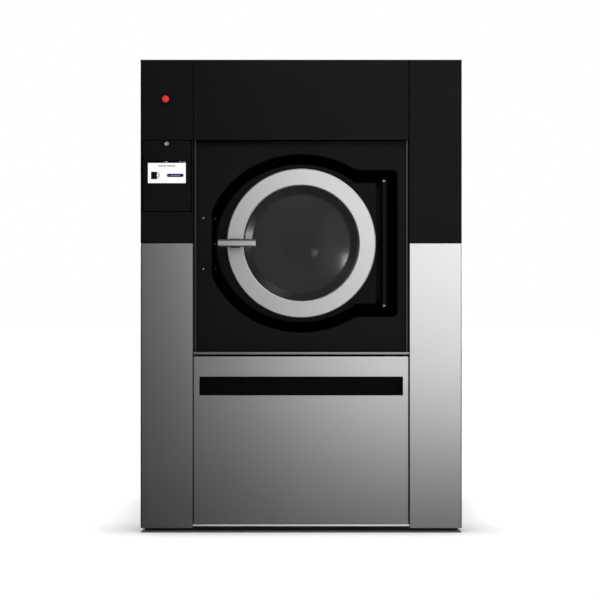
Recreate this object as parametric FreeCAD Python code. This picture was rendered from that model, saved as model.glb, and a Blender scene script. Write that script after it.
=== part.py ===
# Soft-mounted washer-extractor. Millimetres, +Z up, the front faces -Y.
# The origin is the middle of the overall box, on the floor. Depths are measured back from the column faces.
import FreeCAD, Part
import math
import os

os.makedirs("parts", exist_ok=True)
V = FreeCAD.Vector
X = V(1, 0, 0)
Y = V(0, 1, 0)
Z = V(0, 0, 1)

# Cabinet
SIDE_ROOM = 95.0
TOP_ROOM = 188.0
DRIVE_ROOM = 91.0
STUB_LENGTH = 60.0
SHEET = 2.0
SEAM = 2.0
FLOOR_GAP = 18.0
HEADER_SEAM = 3.0
LIP = 12.0
COLUMN_WIDTH = 214.0
COLUMN_DEPTH = 60.0
COLUMN_BEND = 8.0
COLUMN_FOLD = 2.5
COLUMN_FLANGE = 55.0
REST_WIDTH = 16.0
HEADER_GAP = 101.0
HEADER_DEPTH = 50.0
PANEL_RECESS = 22.0
PANEL_DROP = 122.5
BAY_LIP = 20.0
TRIM_HEIGHT = 10.0
TRIM_WIDTH = 4.0
TRIM_INSET = 9.0
TRIM_PROUD = 7.0
TRIM_BASE = 8.0
KICK_HEIGHT = 10.0
LOWER_GAP = 8.0
KICK_RISE = 5.0
LOWER_SIDE_GAP = 4.0
LOWER_SET = 2.0
LOWER_DEPTH = 24.0
GRIP_EDGE = 26.0
GRIP_DROP = 81.5
GRIP_HEIGHT = 77.0
GRIP_DEPTH = 42.0
GRIP_FLANGE = 14.0
SERVICE_SIDE = 235.0
SERVICE_BOTTOM = 358.0
SERVICE_ROOM = 110.0
SERVICE_LAP = 25.0
LOUVRE_LENGTH = 220.0
LOUVRE_HEIGHT = 10.0
LOUVRE_PITCH = 32.0
LOUVRE_ROWS = 8
LOUVRE_HOOD = 8.0
GLAND_SIDE = 100.0
GLAND_RISE = 40.0
GLAND_THREAD = 20.0
GLAND_BORE = 11.0
GLAND_NUT = 26.0
GLAND_LENGTH = 38.0
PANEL_SCREW_EDGE = 42.0
PANEL_SCREW_Z = 104.0
SERVICE_SCREWS = 6
SCREW_RISE = 3.0

# Frame inside the cabinet
POST = 50.0
POST_WALL = 4.0
POST_GAP = 2.0
RAIL_HEIGHT = 40.0
BASE_HEIGHT = 128.0
BASE_FLANGE = 70.0
BASE_WEB = 6.0
BASE_FOOT = 8.0
BEAM_WIDTH = 80.0
BEAM_HEIGHT = 70.0
BEAM_WALL = 5.0
ANCHOR_RADIUS = 9.0
ANCHOR_INSET = 120.0

# Door and the room around it
DOOR_ROOM = 120.0
BAY_X = -20.0
BAY_GAP = 41.5
BAY_FLAT_EDGE = 78.0
BAY_EAR_EDGE = 48.5
BAY_EAR_GAP = 50.0
BAY_CORNER = 20.0
BAY_BLEND = 24.0
EAR_GAP = 28.0
EAR_DROP = 73.0
DOOR_EAR_CORNER = 14.0
DOOR_FRONT = 12.0
DOOR_THICK = 30.0
DOOR_EDGE = 5.0
RING_SET = 17.0
RING_WIDTH = 68.5
RING_EDGE = 4.0
GLASS_WALL = 7.0
GLASS_LAP = 9.5
GLASS_SLOPE = 37.5
GLASS_WALL_DEPTH = 24.0
GLASS_DEPTH = 51.0
DISH_STEPS = 4
GASKET_WALL = 4.0
GASKET_SEAT = 15.0
FIT = 0.3
RUN = 0.05
HINGE_EDGE = 103.0
HINGE_SET = 25.0
BARREL_RADIUS = 20.0
BARREL_OVER = 2.0
HINGE_PIN = 9.0
HINGE_COLLAR = 8.0
HINGE_SPIGOT = 60.0
ARM_THICK = 14.0
HINGE_FOOT = 8.0
HANDLE_OVER = 15.0
HANDLE_LENGTH = 152.0
HANDLE_HEIGHT = 31.0
HANDLE_THICK = 18.0
HANDLE_STANDOFF = 35.0
HANDLE_BEVEL = 5.0
HANDLE_PIVOT = 66.0
HANDLE_PIN = 5.0
HANDLE_LUG = 18.0
CHEEK = 6.0
LOCK_GAP = 1.0
LOCK_WIDTH = 64.0
LOCK_HALF = 120.0
LOCK_PLATE = 3.0
LOCK_SET = 50.0
BOLT_RADIUS = 6.0
BOLT_SET = 61.0
BOLT_TRAVEL = 14.0
BOLT_PEG = 4.0
TONGUE_WIDTH = 14.0
TONGUE_HEIGHT = 34.0
TONGUE_LENGTH = 30.0
POCKET_EDGE = 6.0
POCKET_DEPTH = 14.0
POCKET_COUNT = 12
POCKET_RIB = 8.0
BOLT_PLAY = 0.8
PEG_SET = 30.0
SCREW_HEAD = 7.0
SMALL_HEAD = 3.5

# Tub, drum and drive
TUB_RADIUS = 560.0
TUB_WALL = 4.0
TUB_FRONT = 75.0
TUB_PLATE = 12.0
TUB_FLANGE = 15.0
TUB_LENGTH = 930.0
TUB_HOOP = 10.0
TUB_BACK = 10.0
MOUTH_ROOM = 5.0
COLLAR_WALL = 12.0
COLLAR_LENGTH = 20.0
SEAL_WALL = 14.0
DRUM_ROOM = 45.0
DRUM_WALL = 3.0
DRUM_FRONT = 112.0
DRUM_END_ROOM = 62.0
DRUM_BACK = 8.0
DRUM_LIP = 16.0
LIFTER_HEIGHT = 90.0
LIFTER_BASE = 130.0
LIFTER_TOP = 50.0
LIFTER_COUNT = 3
LIFTER_WALL = 3.0
SPIDER_DEPTH = 36.0
SPIDER_HUB = 82.0
SPIDER_ARM = 90.0
SHAFT_RADIUS = 45.0
BEARING_RADIUS = 75.0
BEARING_WIDTH = 35.0
HOUSING_WALL = 30.0
HOUSING_LENGTH = 165.0
HOUSING_FLANGE = 190.0
HOUSING_PLATE = 20.0
GUSSET = 14.0
GUSSET_COUNT = 6
SEAL_WIDTH = 10.0
PULLEY_RADIUS = 250.0
PULLEY_GAP = 15.0
PULLEY_WIDTH = 62.0
PULLEY_RIM = 22.0
PULLEY_HUB = 78.0
PULLEY_FLANGE = 6.0
PULLEY_FLANGE_WIDTH = 5.0
MOTOR_PULLEY = 60.0
BELT_THICK = 8.0
MOTOR_RADIUS = 100.0
MOTOR_FIN = 12.0
MOTOR_FINS = 16
MOTOR_LENGTH = 270.0
MOTOR_SHAFT = 19.0
MOTOR_FOOT = 8.0
MOUNT_PLATE = 12.0
CRADLE_BOTTOM = 398.0
CRADLE_GAP = 220.0
CRADLE_TUBE = 60.0
CRADLE_WIDTH = 80.0
CRADLE_SET = 200.0
SADDLE_THICK = 20.0
SADDLE_SET = 135.0
STATION_FRONT = 180.0
STATION_SET = 137.0
STATION_DRAIN = 480.0

# Springs, dampers, hoses and pipes
SPRING_RADIUS = 75.0
SPRING_SEAT = 80.0
DAMPER_SET = 110.0
DAMPER_RADIUS = 22.0
DAMPER_BORE = 17.0
DAMPER_LENGTH = 190.0
DAMPER_ROD = 8.0
DAMPER_CAP = 12.0
STROKE = 20.0
HOSE_GAP = 0.3
DRAIN_BORE = 38.0
DRAIN_WALL = 4.0
DRAIN_TOP = 448.0
DRAIN_PIPE_Z = 268.0
SPIGOT_DROP = 40.0
HOSE_RIBS = 3
VALVE_DEPTH = 90.0
VALVE_COIL = 24.0
LOCKNUT = 6.0
UPPER_PIPE_X = 330.0
UPPER_PIPE_BORE = 36.0
UPPER_PIPE_WALL = 3.0
UPPER_SET = 120.0
UPPER_SPIGOT_DROP = 60.0
UPPER_HOSE = 70.0
UPPER_BEND = 65.0
INLET_RADIUS = 13.0
INLET_SPACING = 90.0

# Controls on the left column
CONTROL_WIDTH = 170.0
CONTROL_SET = 150.0
CONTROL_LENGTH = 490.0
CONTROL_DROP = 37.0
CONTROL_HEIGHT = 300.0
HATCH_EDGE = 11.5
HATCH_INNER = 8.0
HATCH_GAP = 4.0
HATCH_HEIGHT = 287.0
HATCH_DEPTH = 18.0
HATCH_SEAM = 3.5
HATCH_PIN = 3.0
HATCH_PIN_SET = 11.0
HATCH_PIN_RISE = 6.0
HATCH_KNUCKLE = 2.5
HATCH_KNUCKLE_LENGTH = 24.0
SCREEN_DROP = 128.0
SCREEN_EDGE = 18.25
SCREEN_HEIGHT = 92.0
SCREEN_THICK = 3.0
SCREEN_PROUD = 0.8
SCREEN_CORNER = 3.0
SCREEN_CASE = 9.0
SCREEN_CASE_DEPTH = 38.0
SCREEN_SLOTS = 7
KEY_DROP = 13.0
KEY_RADIUS = 10.0
KEY_CORE = 6.0
KEY_CAM = 26.0
STOP_OFFSET = 3.0
STOP_RISE = 164.0
STOP_RADIUS = 14.0
STOP_BARREL = 11.0
STOP_STEM = 8.0
STOP_TRAVEL = 6.0
STOP_BEZEL = 3.0
STOP_DEPTH = 32.0
STOP_HEAD = 16.0

# Places worked out from the sizes above
DRUM_Z = CRADLE_BOTTOM + CRADLE_GAP + TUB_RADIUS
HEIGHT = DRUM_Z + TUB_RADIUS + TOP_ROOM
WIDTH = (TUB_RADIUS + SIDE_ROOM) * 2
TUB_REAR = TUB_FRONT + TUB_PLATE + TUB_LENGTH
CABINET_DEPTH = TUB_REAR + HOUSING_LENGTH + PULLEY_GAP + PULLEY_WIDTH + DRIVE_ROOM
HANDLE_PROUD = HANDLE_STANDOFF + HANDLE_THICK
FACE = (HANDLE_PROUD - CABINET_DEPTH - STUB_LENGTH) / 2
REAR = FACE + CABINET_DEPTH
SIDE = WIDTH / 2
COLUMN_INNER = SIDE - COLUMN_WIDTH
TOP = HEIGHT - SHEET
DOOR_RADIUS = COLUMN_INNER - DOOR_ROOM
DOOR_EAR_HALF = DOOR_RADIUS - EAR_DROP
HINGE_X = COLUMN_INNER - HINGE_EDGE
DOOR_EAR_RIGHT = HINGE_X - EAR_GAP
BARREL_HALF = DOOR_EAR_HALF + BARREL_OVER
BAY_RADIUS = DOOR_RADIUS + BAY_GAP
BAY_FLAT = COLUMN_INNER - BAY_FLAT_EDGE
BAY_EAR_RIGHT = COLUMN_INNER - BAY_EAR_EDGE
BAY_EAR_HALF = DOOR_EAR_HALF + BAY_EAR_GAP
RING_OUTER = DOOR_RADIUS - RING_SET
RING_INNER = RING_OUTER - RING_WIDTH
GLASS_FLANGE = RING_INNER + GLASS_LAP
GLASS_FLOOR_RADIUS = RING_INNER - GLASS_SLOPE
HANDLE_LEFT = -DOOR_RADIUS - HANDLE_OVER
HANDLE_PIVOT_X = HANDLE_LEFT + HANDLE_PIVOT
LOCK_EDGE = -DOOR_RADIUS - LOCK_GAP
PEG_X = LOCK_EDGE - PEG_SET
MOUTH_RADIUS = GLASS_FLANGE + MOUTH_ROOM
DRUM_MOUTH = MOUTH_RADIUS + COLLAR_WALL
DRUM_RADIUS = TUB_RADIUS - DRUM_ROOM
DRUM_LENGTH = TUB_REAR - DRUM_FRONT - DRUM_END_ROOM
CRADLE_X = TUB_RADIUS - CRADLE_SET
SADDLE_HALF = TUB_RADIUS - SADDLE_SET
DAMPER_X = CRADLE_X - DAMPER_SET
STATION_REAR = TUB_REAR - STATION_SET
UPPER_STATION = STATION_REAR - UPPER_SET
UPPER_SPIGOT_Z = DRUM_Z + TUB_RADIUS - UPPER_SPIGOT_DROP
PANEL_BOTTOM = DRUM_Z - DOOR_RADIUS - PANEL_DROP
KICK_Z = FLOOR_GAP + KICK_RISE
LOWER_BOTTOM = KICK_Z + KICK_HEIGHT + SEAM
LOWER_TOP = PANEL_BOTTOM - TRIM_HEIGHT - LOWER_GAP
GRIP_HALF = COLUMN_INNER - GRIP_EDGE
GRIP_BOTTOM = LOWER_TOP - GRIP_DROP - GRIP_HEIGHT
PANEL_SCREW_X = PANEL_SCREW_EDGE - COLUMN_INNER
SERVICE_HALF = SIDE - SERVICE_SIDE
SERVICE_TOP = DRUM_Z + PULLEY_RADIUS + SERVICE_ROOM
GLAND_X = -SERVICE_HALF - GLAND_SIDE
GLAND_Z = SERVICE_TOP + GLAND_RISE
HEADER_BOTTOM = DRUM_Z + DOOR_RADIUS + HEADER_GAP
CONTROL_BOTTOM = HEADER_BOTTOM - CONTROL_DROP
HATCH_LEFT = HATCH_EDGE - SIDE
HATCH_WIDTH = COLUMN_WIDTH - HATCH_EDGE - HATCH_INNER
HATCH_BOTTOM = HEADER_BOTTOM - HATCH_GAP - HATCH_HEIGHT
KEY_X = COLUMN_WIDTH / 2 - SIDE
KEY_Z = HATCH_BOTTOM + HATCH_HEIGHT - KEY_DROP
SCREEN_X = KEY_X
SCREEN_Z = HATCH_BOTTOM + HATCH_HEIGHT - SCREEN_DROP
SCREEN_WIDTH = HATCH_WIDTH - SCREEN_EDGE * 2
STOP_X = KEY_X - STOP_OFFSET
STOP_Z = HEADER_BOTTOM + STOP_RISE
FRAME_X = SIDE - LIP - POST_GAP
FRAME_FRONT = FACE + COLUMN_DEPTH
FRAME_REAR = REAR - SHEET - POST_GAP * 2
PANEL_Y = FACE + PANEL_RECESS
LOWER_Y = FACE + LOWER_SET
DOOR_BACK = FACE + DOOR_FRONT + DOOR_THICK
TUB_Y = FACE + TUB_FRONT + TUB_PLATE
TUB_END = TUB_Y + TUB_LENGTH
DRUM_END = FACE + DRUM_FRONT + DRUM_LENGTH
HOUSING_END = TUB_END + HOUSING_LENGTH
PULLEY_Y = HOUSING_END + PULLEY_GAP
MOTOR_Z = CRADLE_BOTTOM + MOTOR_FOOT + MOTOR_RADIUS
MOTOR_END = PULLEY_Y - PULLEY_GAP
HINGE_Y = FACE + HINGE_SET
DRAIN_SPIGOT_Z = DRUM_Z - TUB_RADIUS - SPIGOT_DROP
ARM_Z = BARREL_HALF + FIT + HINGE_COLLAR
PIVOT_Y = FACE - HANDLE_STANDOFF / 2
HATCH_PIN_Y = FACE + HATCH_PIN_SET
HATCH_PIN_Z = HATCH_BOTTOM + HATCH_PIN_RISE


# Shared ways of making a shape

def box(x0, x1, y0, y1, z0, z1):
    return Part.makeBox(x1 - x0, y1 - y0, z1 - z0, V(x0, y0, z0))


def rod(radius, start, direction, length):
    return Part.makeCylinder(radius, length, start, direction)


def tube(outer, inner, start, direction, length):
    return rod(outer, start, direction, length).cut(rod(inner, start, direction, length))


def join(shapes):
    return shapes[0].multiFuse(shapes[1:]).removeSplitter()


def mirrored(shape):
    return shape.mirror(V(0, 0, 0), X)


def turned(profile, x, z):
    """Revolve (radius, y) points about the line through x and z that runs front to back."""
    points = [V(x + radius, y, z) for radius, y in profile]
    wire = Part.makePolygon(points + points[:1])
    return Part.Face(wire).revolve(V(x, 0, z), Y, 360)


def stood(profile, x, y):
    """Revolve (radius, z) points about the upright line through x and y."""
    points = [V(x + radius, y, z) for radius, z in profile]
    wire = Part.makePolygon(points + points[:1])
    return Part.Face(wire).revolve(V(x, y, 0), Z, 360)


def edges_along(shape, direction, near):
    """Straight edges that run along a direction and pass the test on their middle point."""
    found = []
    for edge in shape.Edges:
        if not isinstance(edge.Curve, Part.Line):
            continue
        if edge.Curve.Direction.cross(direction).Length > 1e-6:
            continue
        if near(edge.CenterOfMass):
            found.append(edge)
    return found


def hexagon(radius, x, y, z, rise):
    """Hexagonal prism along the depth, measured across its corners."""
    corners = []
    for step in range(6):
        angle = math.radians(60 * step)
        corners.append(V(x + radius * math.cos(angle), y, z + radius * math.sin(angle)))
    return Part.Face(Part.makePolygon(corners + corners[:1])).extrude(V(0, rise, 0))


def front_tray(x0, x1, y, depth, z0, z1):
    """Sheet panel facing the front with its four edges folded back."""
    skin = box(x0, x1, y, y + depth, z0, z1)
    return skin.cut(box(x0 + SHEET, x1 - SHEET, y + SHEET, y + depth, z0 + SHEET, z1 - SHEET))


def save(name, shapes):
    group = shapes if isinstance(shapes, list) else [shapes]
    whole = group[0] if len(group) == 1 else Part.makeCompound(group)
    whole.exportStep("parts/" + name + ".step")


# Floor frame: two channels front to back, cross channels and three beams with spring seats

def channel_side():
    """Left floor channel, open towards the middle, with its two anchor holes."""
    left = -FRAME_X
    bar = box(left, left + BASE_FLANGE, FRAME_FRONT, FRAME_REAR, 0, BASE_HEIGHT)
    inside = BASE_HEIGHT - BASE_FOOT
    bar = bar.cut(box(left + BASE_WEB, left + BASE_FLANGE, FRAME_FRONT, FRAME_REAR, BASE_FOOT, inside))
    for y in (FRAME_FRONT + ANCHOR_INSET, FRAME_REAR - ANCHOR_INSET):
        bar = bar.cut(rod(ANCHOR_RADIUS, V(left + BASE_FLANGE / 2, y, 0), Z, BASE_FOOT))
    return bar


def channel_cross(web_y, tip_y):
    """Cross channel between the side channels, open towards the tip of its flanges."""
    reach = FRAME_X - BASE_FLANGE
    low = min(web_y, tip_y)
    high = max(web_y, tip_y)
    bar = box(-reach, reach, low, high, 0, BASE_HEIGHT)
    hollow_low = low + BASE_WEB if web_y < tip_y else low
    hollow_high = high if web_y < tip_y else high - BASE_WEB
    return bar.cut(box(-reach, reach, hollow_low, hollow_high, BASE_FOOT, BASE_HEIGHT - BASE_FOOT))


def beam(station):
    """Hollow beam across the floor frame at a spring or drain station."""
    reach = FRAME_X - BASE_FLANGE
    y = FACE + station - BEAM_WIDTH / 2
    low = BASE_HEIGHT - BEAM_HEIGHT
    bar = box(-reach, reach, y, y + BEAM_WIDTH, low, BASE_HEIGHT)
    inside = box(-reach, reach, y + BEAM_WALL, y + BEAM_WIDTH - BEAM_WALL, low + BEAM_WALL,
                 BASE_HEIGHT - BEAM_WALL)
    return bar.cut(inside)


def spring_seat(x, station):
    """Conical pedestal that lifts an air spring off its beam."""
    foot = SPRING_RADIUS * 0.5
    profile = [(0, BASE_HEIGHT), (foot, BASE_HEIGHT), (SPRING_RADIUS * 0.75, BASE_HEIGHT + SPRING_SEAT)]
    return stood(profile + [(0, BASE_HEIGHT + SPRING_SEAT)], x, FACE + station)


def base_frame():
    left = channel_side()
    bars = [left, mirrored(left)]
    bars.append(channel_cross(FRAME_FRONT, FRAME_FRONT + BASE_FLANGE))
    bars.append(channel_cross(FRAME_REAR, FRAME_REAR - BASE_FLANGE))
    bars.append(beam(STATION_DRAIN))
    for station in (STATION_FRONT, STATION_REAR):
        seats = [spring_seat(side * CRADLE_X, station) for side in (-1, 1)]
        bars.append(join([beam(station)] + seats))
    return bars


# Upright posts and the top rails that tie them

def square_tube(x0, x1, y0, y1, z0, z1, along):
    bar = box(x0, x1, y0, y1, z0, z1)
    wall_x = 0 if along == X else POST_WALL
    wall_y = 0 if along == Y else POST_WALL
    wall_z = 0 if along == Z else POST_WALL
    return bar.cut(box(x0 + wall_x, x1 - wall_x, y0 + wall_y, y1 - wall_y, z0 + wall_z, z1 - wall_z))


def cabinet_frame():
    bars = []
    rail_z = TOP - RAIL_HEIGHT
    for y in (FRAME_FRONT, FRAME_REAR - POST):
        post = square_tube(-FRAME_X, -FRAME_X + POST, y, y + POST, BASE_HEIGHT, rail_z, Z)
        bars += [post, mirrored(post)]
        bars.append(square_tube(-FRAME_X + POST, FRAME_X - POST, y, y + POST, rail_z, TOP, X))
    side = square_tube(-FRAME_X, -FRAME_X + POST, FRAME_FRONT, FRAME_REAR, rail_z, TOP, Y)
    return bars + [side, mirrored(side)]


# Column claddings: bent sheet, black above the door centre and brushed below it

def column(z0, z1):
    """Left cladding between two heights: front face, a return on each side and a flange against the post."""
    outer = box(-SIDE, -COLUMN_INNER, FACE, FACE + COLUMN_DEPTH, z0, z1)
    bend = edges_along(outer, Z, lambda p: p.y < FACE + 1)
    outer = outer.makeFillet(COLUMN_BEND, bend[:1]).makeFillet(COLUMN_FOLD, bend[1:])
    inner = box(-SIDE + SHEET, -COLUMN_INNER - SHEET, FACE + SHEET, FACE + COLUMN_DEPTH, z0, z1)
    bend = edges_along(inner, Z, lambda p: p.y < FACE + SHEET + 1)
    inner = inner.makeFillet(COLUMN_BEND - SHEET, bend[:1]).makeFillet(COLUMN_FOLD - SHEET, bend[1:])
    flange = box(-SIDE, -SIDE + COLUMN_FLANGE, FRAME_FRONT - SHEET, FRAME_FRONT, z0, z1)
    return join([outer.cut(inner), flange])


def lower_column():
    """Lower left cladding with the rest that the edge of the lower panel is screwed to."""
    y = LOWER_Y + LOWER_DEPTH
    rest = box(-COLUMN_INNER, -COLUMN_INNER + REST_WIDTH, y, y + SHEET, LOWER_BOTTOM, LOWER_TOP)
    return join([column(FLOOR_GAP, DRUM_Z - SEAM / 2), rest])


def left_column_upper():
    """Upper left cladding with the hatch opening, the catch behind it and the stop-button hole."""
    shell = column(DRUM_Z + SEAM / 2, TOP)
    right = HATCH_LEFT + HATCH_WIDTH
    top = HATCH_BOTTOM + HATCH_HEIGHT
    opening = box(HATCH_LEFT - HATCH_SEAM, right + HATCH_SEAM, FACE, FACE + SHEET,
                  HATCH_BOTTOM - HATCH_SEAM, top + HATCH_SEAM)
    shell = shell.cut(opening).cut(rod(STOP_BARREL + FIT, V(STOP_X, FACE, STOP_Z), Y, SHEET))
    catch_low = top + HATCH_SEAM + SEAM
    catch = box(KEY_X - KEY_CORE * 2, KEY_X + KEY_CORE * 2, FACE + SHEET, FACE + HATCH_DEPTH,
                catch_low, catch_low + KEY_CAM / 2)
    return join([shell, catch])


# Header, recessed door-surround panel and lower panel in the bay between the columns

def header_panel():
    reach = COLUMN_INNER - HEADER_SEAM
    return front_tray(-reach, reach, FACE + SEAM / 2, HEADER_DEPTH, HEADER_BOTTOM, TOP)


def bay_room(grow, y0, y1):
    """Room around the floating door: a circle with a flat at the lock and a square ear at the hinge."""
    radius = BAY_RADIUS + grow
    half = BAY_EAR_HALF + grow
    disc = rod(radius, V(BAY_X, y0, DRUM_Z), Y, y1 - y0)
    ear = box(BAY_X, BAY_EAR_RIGHT + grow, y0, y1, DRUM_Z - half, DRUM_Z + half)
    corners = edges_along(ear, Y, lambda p: p.x > BAY_EAR_RIGHT + grow - 1)
    ear = ear.makeFillet(BAY_CORNER + grow, corners)
    flat = box(-SIDE, -BAY_FLAT - grow, y0, y1, DRUM_Z - radius, DRUM_Z + radius)
    room = disc.fuse(ear).removeSplitter().cut(flat)
    meet = BAY_X + math.sqrt(radius ** 2 - half ** 2)
    notch = edges_along(room, Y, lambda p: abs(p.x - meet) < 1 and abs(abs(p.z - DRUM_Z) - half) < 1)
    return room.makeFillet(BAY_BLEND - grow, notch)


def front_panel():
    """Door-surround sheet with a lip around the door and both sides folded back against the columns."""
    reach = COLUMN_INNER - SEAM / 2
    skin = box(-reach, reach, PANEL_Y, PANEL_Y + SHEET, PANEL_BOTTOM, HEADER_BOTTOM - SEAM)
    lip = bay_room(SHEET, PANEL_Y + SHEET, PANEL_Y + BAY_LIP)
    fold = box(-COLUMN_INNER, -reach + SHEET, PANEL_Y + SHEET, PANEL_Y + BAY_LIP, PANEL_BOTTOM,
               HEADER_BOTTOM - SEAM)
    return join([skin, lip, fold, mirrored(fold)]).cut(bay_room(0, PANEL_Y, PANEL_Y + BAY_LIP))


def front_trims():
    """Bright strips: one up each side of the door panel, one below it and one along the floor."""
    reach = COLUMN_INNER - TRIM_INSET
    side = box(-reach - TRIM_WIDTH / 2, -reach + TRIM_WIDTH / 2, PANEL_Y - TRIM_PROUD, PANEL_Y,
               PANEL_BOTTOM, HEADER_BOTTOM - SEAM)
    width = COLUMN_INNER - SEAM
    cross = box(-width, width, LOWER_Y, LOWER_Y + LOWER_DEPTH, PANEL_BOTTOM - TRIM_HEIGHT, PANEL_BOTTOM)
    front = edges_along(cross, X, lambda p: p.y < LOWER_Y + 1)
    cross = cross.makeFillet(TRIM_WIDTH / 2, front)
    kick = box(-COLUMN_INNER, COLUMN_INNER, LOWER_Y, LOWER_Y + TRIM_BASE, KICK_Z, KICK_Z + KICK_HEIGHT)
    return [side, mirrored(side), cross, kick]


def lower_panel():
    reach = COLUMN_INNER - LOWER_SIDE_GAP
    tray = front_tray(-reach, reach, LOWER_Y, LOWER_DEPTH, LOWER_BOTTOM, LOWER_TOP)
    return tray.cut(box(-GRIP_HALF, GRIP_HALF, LOWER_Y, LOWER_Y + SHEET, GRIP_BOTTOM,
                        GRIP_BOTTOM + GRIP_HEIGHT))


def grip_channel():
    """Pressed trough behind the slot of the lower panel, with a flange against the back of its sheet."""
    front = LOWER_Y + SHEET
    top = GRIP_BOTTOM + GRIP_HEIGHT
    flange = box(-GRIP_HALF - GRIP_FLANGE, GRIP_HALF + GRIP_FLANGE, front, front + SHEET,
                 GRIP_BOTTOM - GRIP_FLANGE, top + GRIP_FLANGE)
    trough = box(-GRIP_HALF - SHEET, GRIP_HALF + SHEET, front, front + GRIP_DEPTH, GRIP_BOTTOM - SHEET,
                 top + SHEET)
    room = box(-GRIP_HALF, GRIP_HALF, front, front + GRIP_DEPTH - SHEET, GRIP_BOTTOM, top)
    deep = edges_along(room, X, lambda p: p.y > front + SHEET)
    return join([flange, trough]).cut(room.makeFillet(BAY_CORNER / 2, deep))


# Side, top and rear panels

def side_panel():
    """Left side sheet with all four edges folded inwards."""
    y0 = FACE + COLUMN_DEPTH + SEAM
    tray = box(-SIDE, -SIDE + LIP, y0, REAR, FLOOR_GAP, TOP)
    return tray.cut(box(-SIDE + SHEET, -SIDE + LIP, y0 + SHEET, REAR - SHEET, FLOOR_GAP + SHEET, TOP - SHEET))


def top_cover():
    return box(-SIDE, SIDE, FACE, REAR, TOP, HEIGHT)


def rear_panel():
    """Rear sheet between the side panels, with the service opening and a hole for each pipe."""
    reach = SIDE - LIP - SEAM / 2
    skin = box(-reach, reach, REAR - SHEET, REAR, FLOOR_GAP, TOP)
    skin = skin.cut(box(-SERVICE_HALF, SERVICE_HALF, REAR - SHEET, REAR, SERVICE_BOTTOM, SERVICE_TOP))
    pipe_z = UPPER_SPIGOT_Z + UPPER_HOSE + UPPER_BEND
    holes = [(UPPER_PIPE_X, pipe_z, UPPER_PIPE_BORE + UPPER_PIPE_WALL)]
    holes.append((0, DRAIN_PIPE_Z, DRAIN_BORE + DRAIN_WALL))
    holes.append((GLAND_X, GLAND_Z, GLAND_THREAD))
    for side in (-1, 1):
        holes.append((-UPPER_PIPE_X + side * INLET_SPACING / 2, pipe_z, INLET_RADIUS))
    for x, z, radius in holes:
        skin = skin.cut(rod(radius + FIT, V(x, REAR - SHEET, z), Y, SHEET))
    return skin


def louvre(x, z):
    """Pressed hood over one slot, open at its lower edge."""
    half = LOUVRE_LENGTH / 2
    slope = [V(x - half, REAR + SHEET, z), V(x - half, REAR + SHEET + LOUVRE_HOOD, z),
             V(x - half, REAR + SHEET, z + LOUVRE_HOOD + LOUVRE_HEIGHT), V(x - half, REAR + SHEET, z)]
    return Part.Face(Part.makePolygon(slope)).extrude(V(LOUVRE_LENGTH, 0, 0))


def rear_service_cover():
    """Screwed sheet over the drive, with two banks of hooded slots."""
    reach = SERVICE_HALF + SERVICE_LAP
    cover = box(-reach, reach, REAR, REAR + SHEET, SERVICE_BOTTOM - SERVICE_LAP, SERVICE_TOP + SERVICE_LAP)
    hoods = []
    slots = []
    for side in (-1, 1):
        for row in range(LOUVRE_ROWS):
            x = side * SERVICE_HALF / 2
            z = SERVICE_BOTTOM + SERVICE_LAP * 4 + row * LOUVRE_PITCH
            half = LOUVRE_LENGTH / 2 - SHEET
            hoods.append(louvre(x, z))
            slots.append(box(x - half, x + half, REAR, REAR + LOUVRE_HOOD - SHEET, z, z + LOUVRE_HEIGHT))
    return join([cover] + hoods).cut(Part.makeCompound(slots))


# Cable entry: a gland through the rear panel


def cable_gland():
    """Locknut inside, hexagon body outside and a tapered cap, all bored for the supply cable."""
    start = V(GLAND_X, REAR - SHEET * 5, GLAND_Z)
    body = GLAND_LENGTH / 3
    pieces = [rod(GLAND_THREAD, start, Y, SHEET * 5)]
    pieces.append(hexagon(GLAND_NUT, GLAND_X, start.y, GLAND_Z, SHEET * 4))
    pieces.append(hexagon(GLAND_NUT, GLAND_X, REAR, GLAND_Z, body))
    cap_start = V(GLAND_X, REAR + body, GLAND_Z)
    pieces.append(Part.makeCone(GLAND_THREAD, GLAND_BORE * 1.4, GLAND_LENGTH - body, cap_start, Y))
    return join(pieces).cut(rod(GLAND_BORE, start, Y, GLAND_LENGTH + SHEET * 5))


save("base_frame", base_frame())
save("cabinet_frame", cabinet_frame())
save("left_column_upper", left_column_upper())
save("left_column_lower", lower_column())
save("right_column_upper", mirrored(column(DRUM_Z + SEAM / 2, TOP)))
save("right_column_lower", mirrored(lower_column()))
save("header_panel", header_panel())
save("front_panel", front_panel())
save("front_trims", front_trims())
save("lower_panel", lower_panel())
save("grip_channel", grip_channel())
save("left_side_panel", side_panel())
save("right_side_panel", mirrored(side_panel()))
save("top_cover", top_cover())
save("rear_panel", rear_panel())
save("rear_service_cover", rear_service_cover())
save("cable_gland", cable_gland())


# Door: cast frame with its hinge barrel, ring, dished glass in a gasket, handle on a clevis

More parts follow.
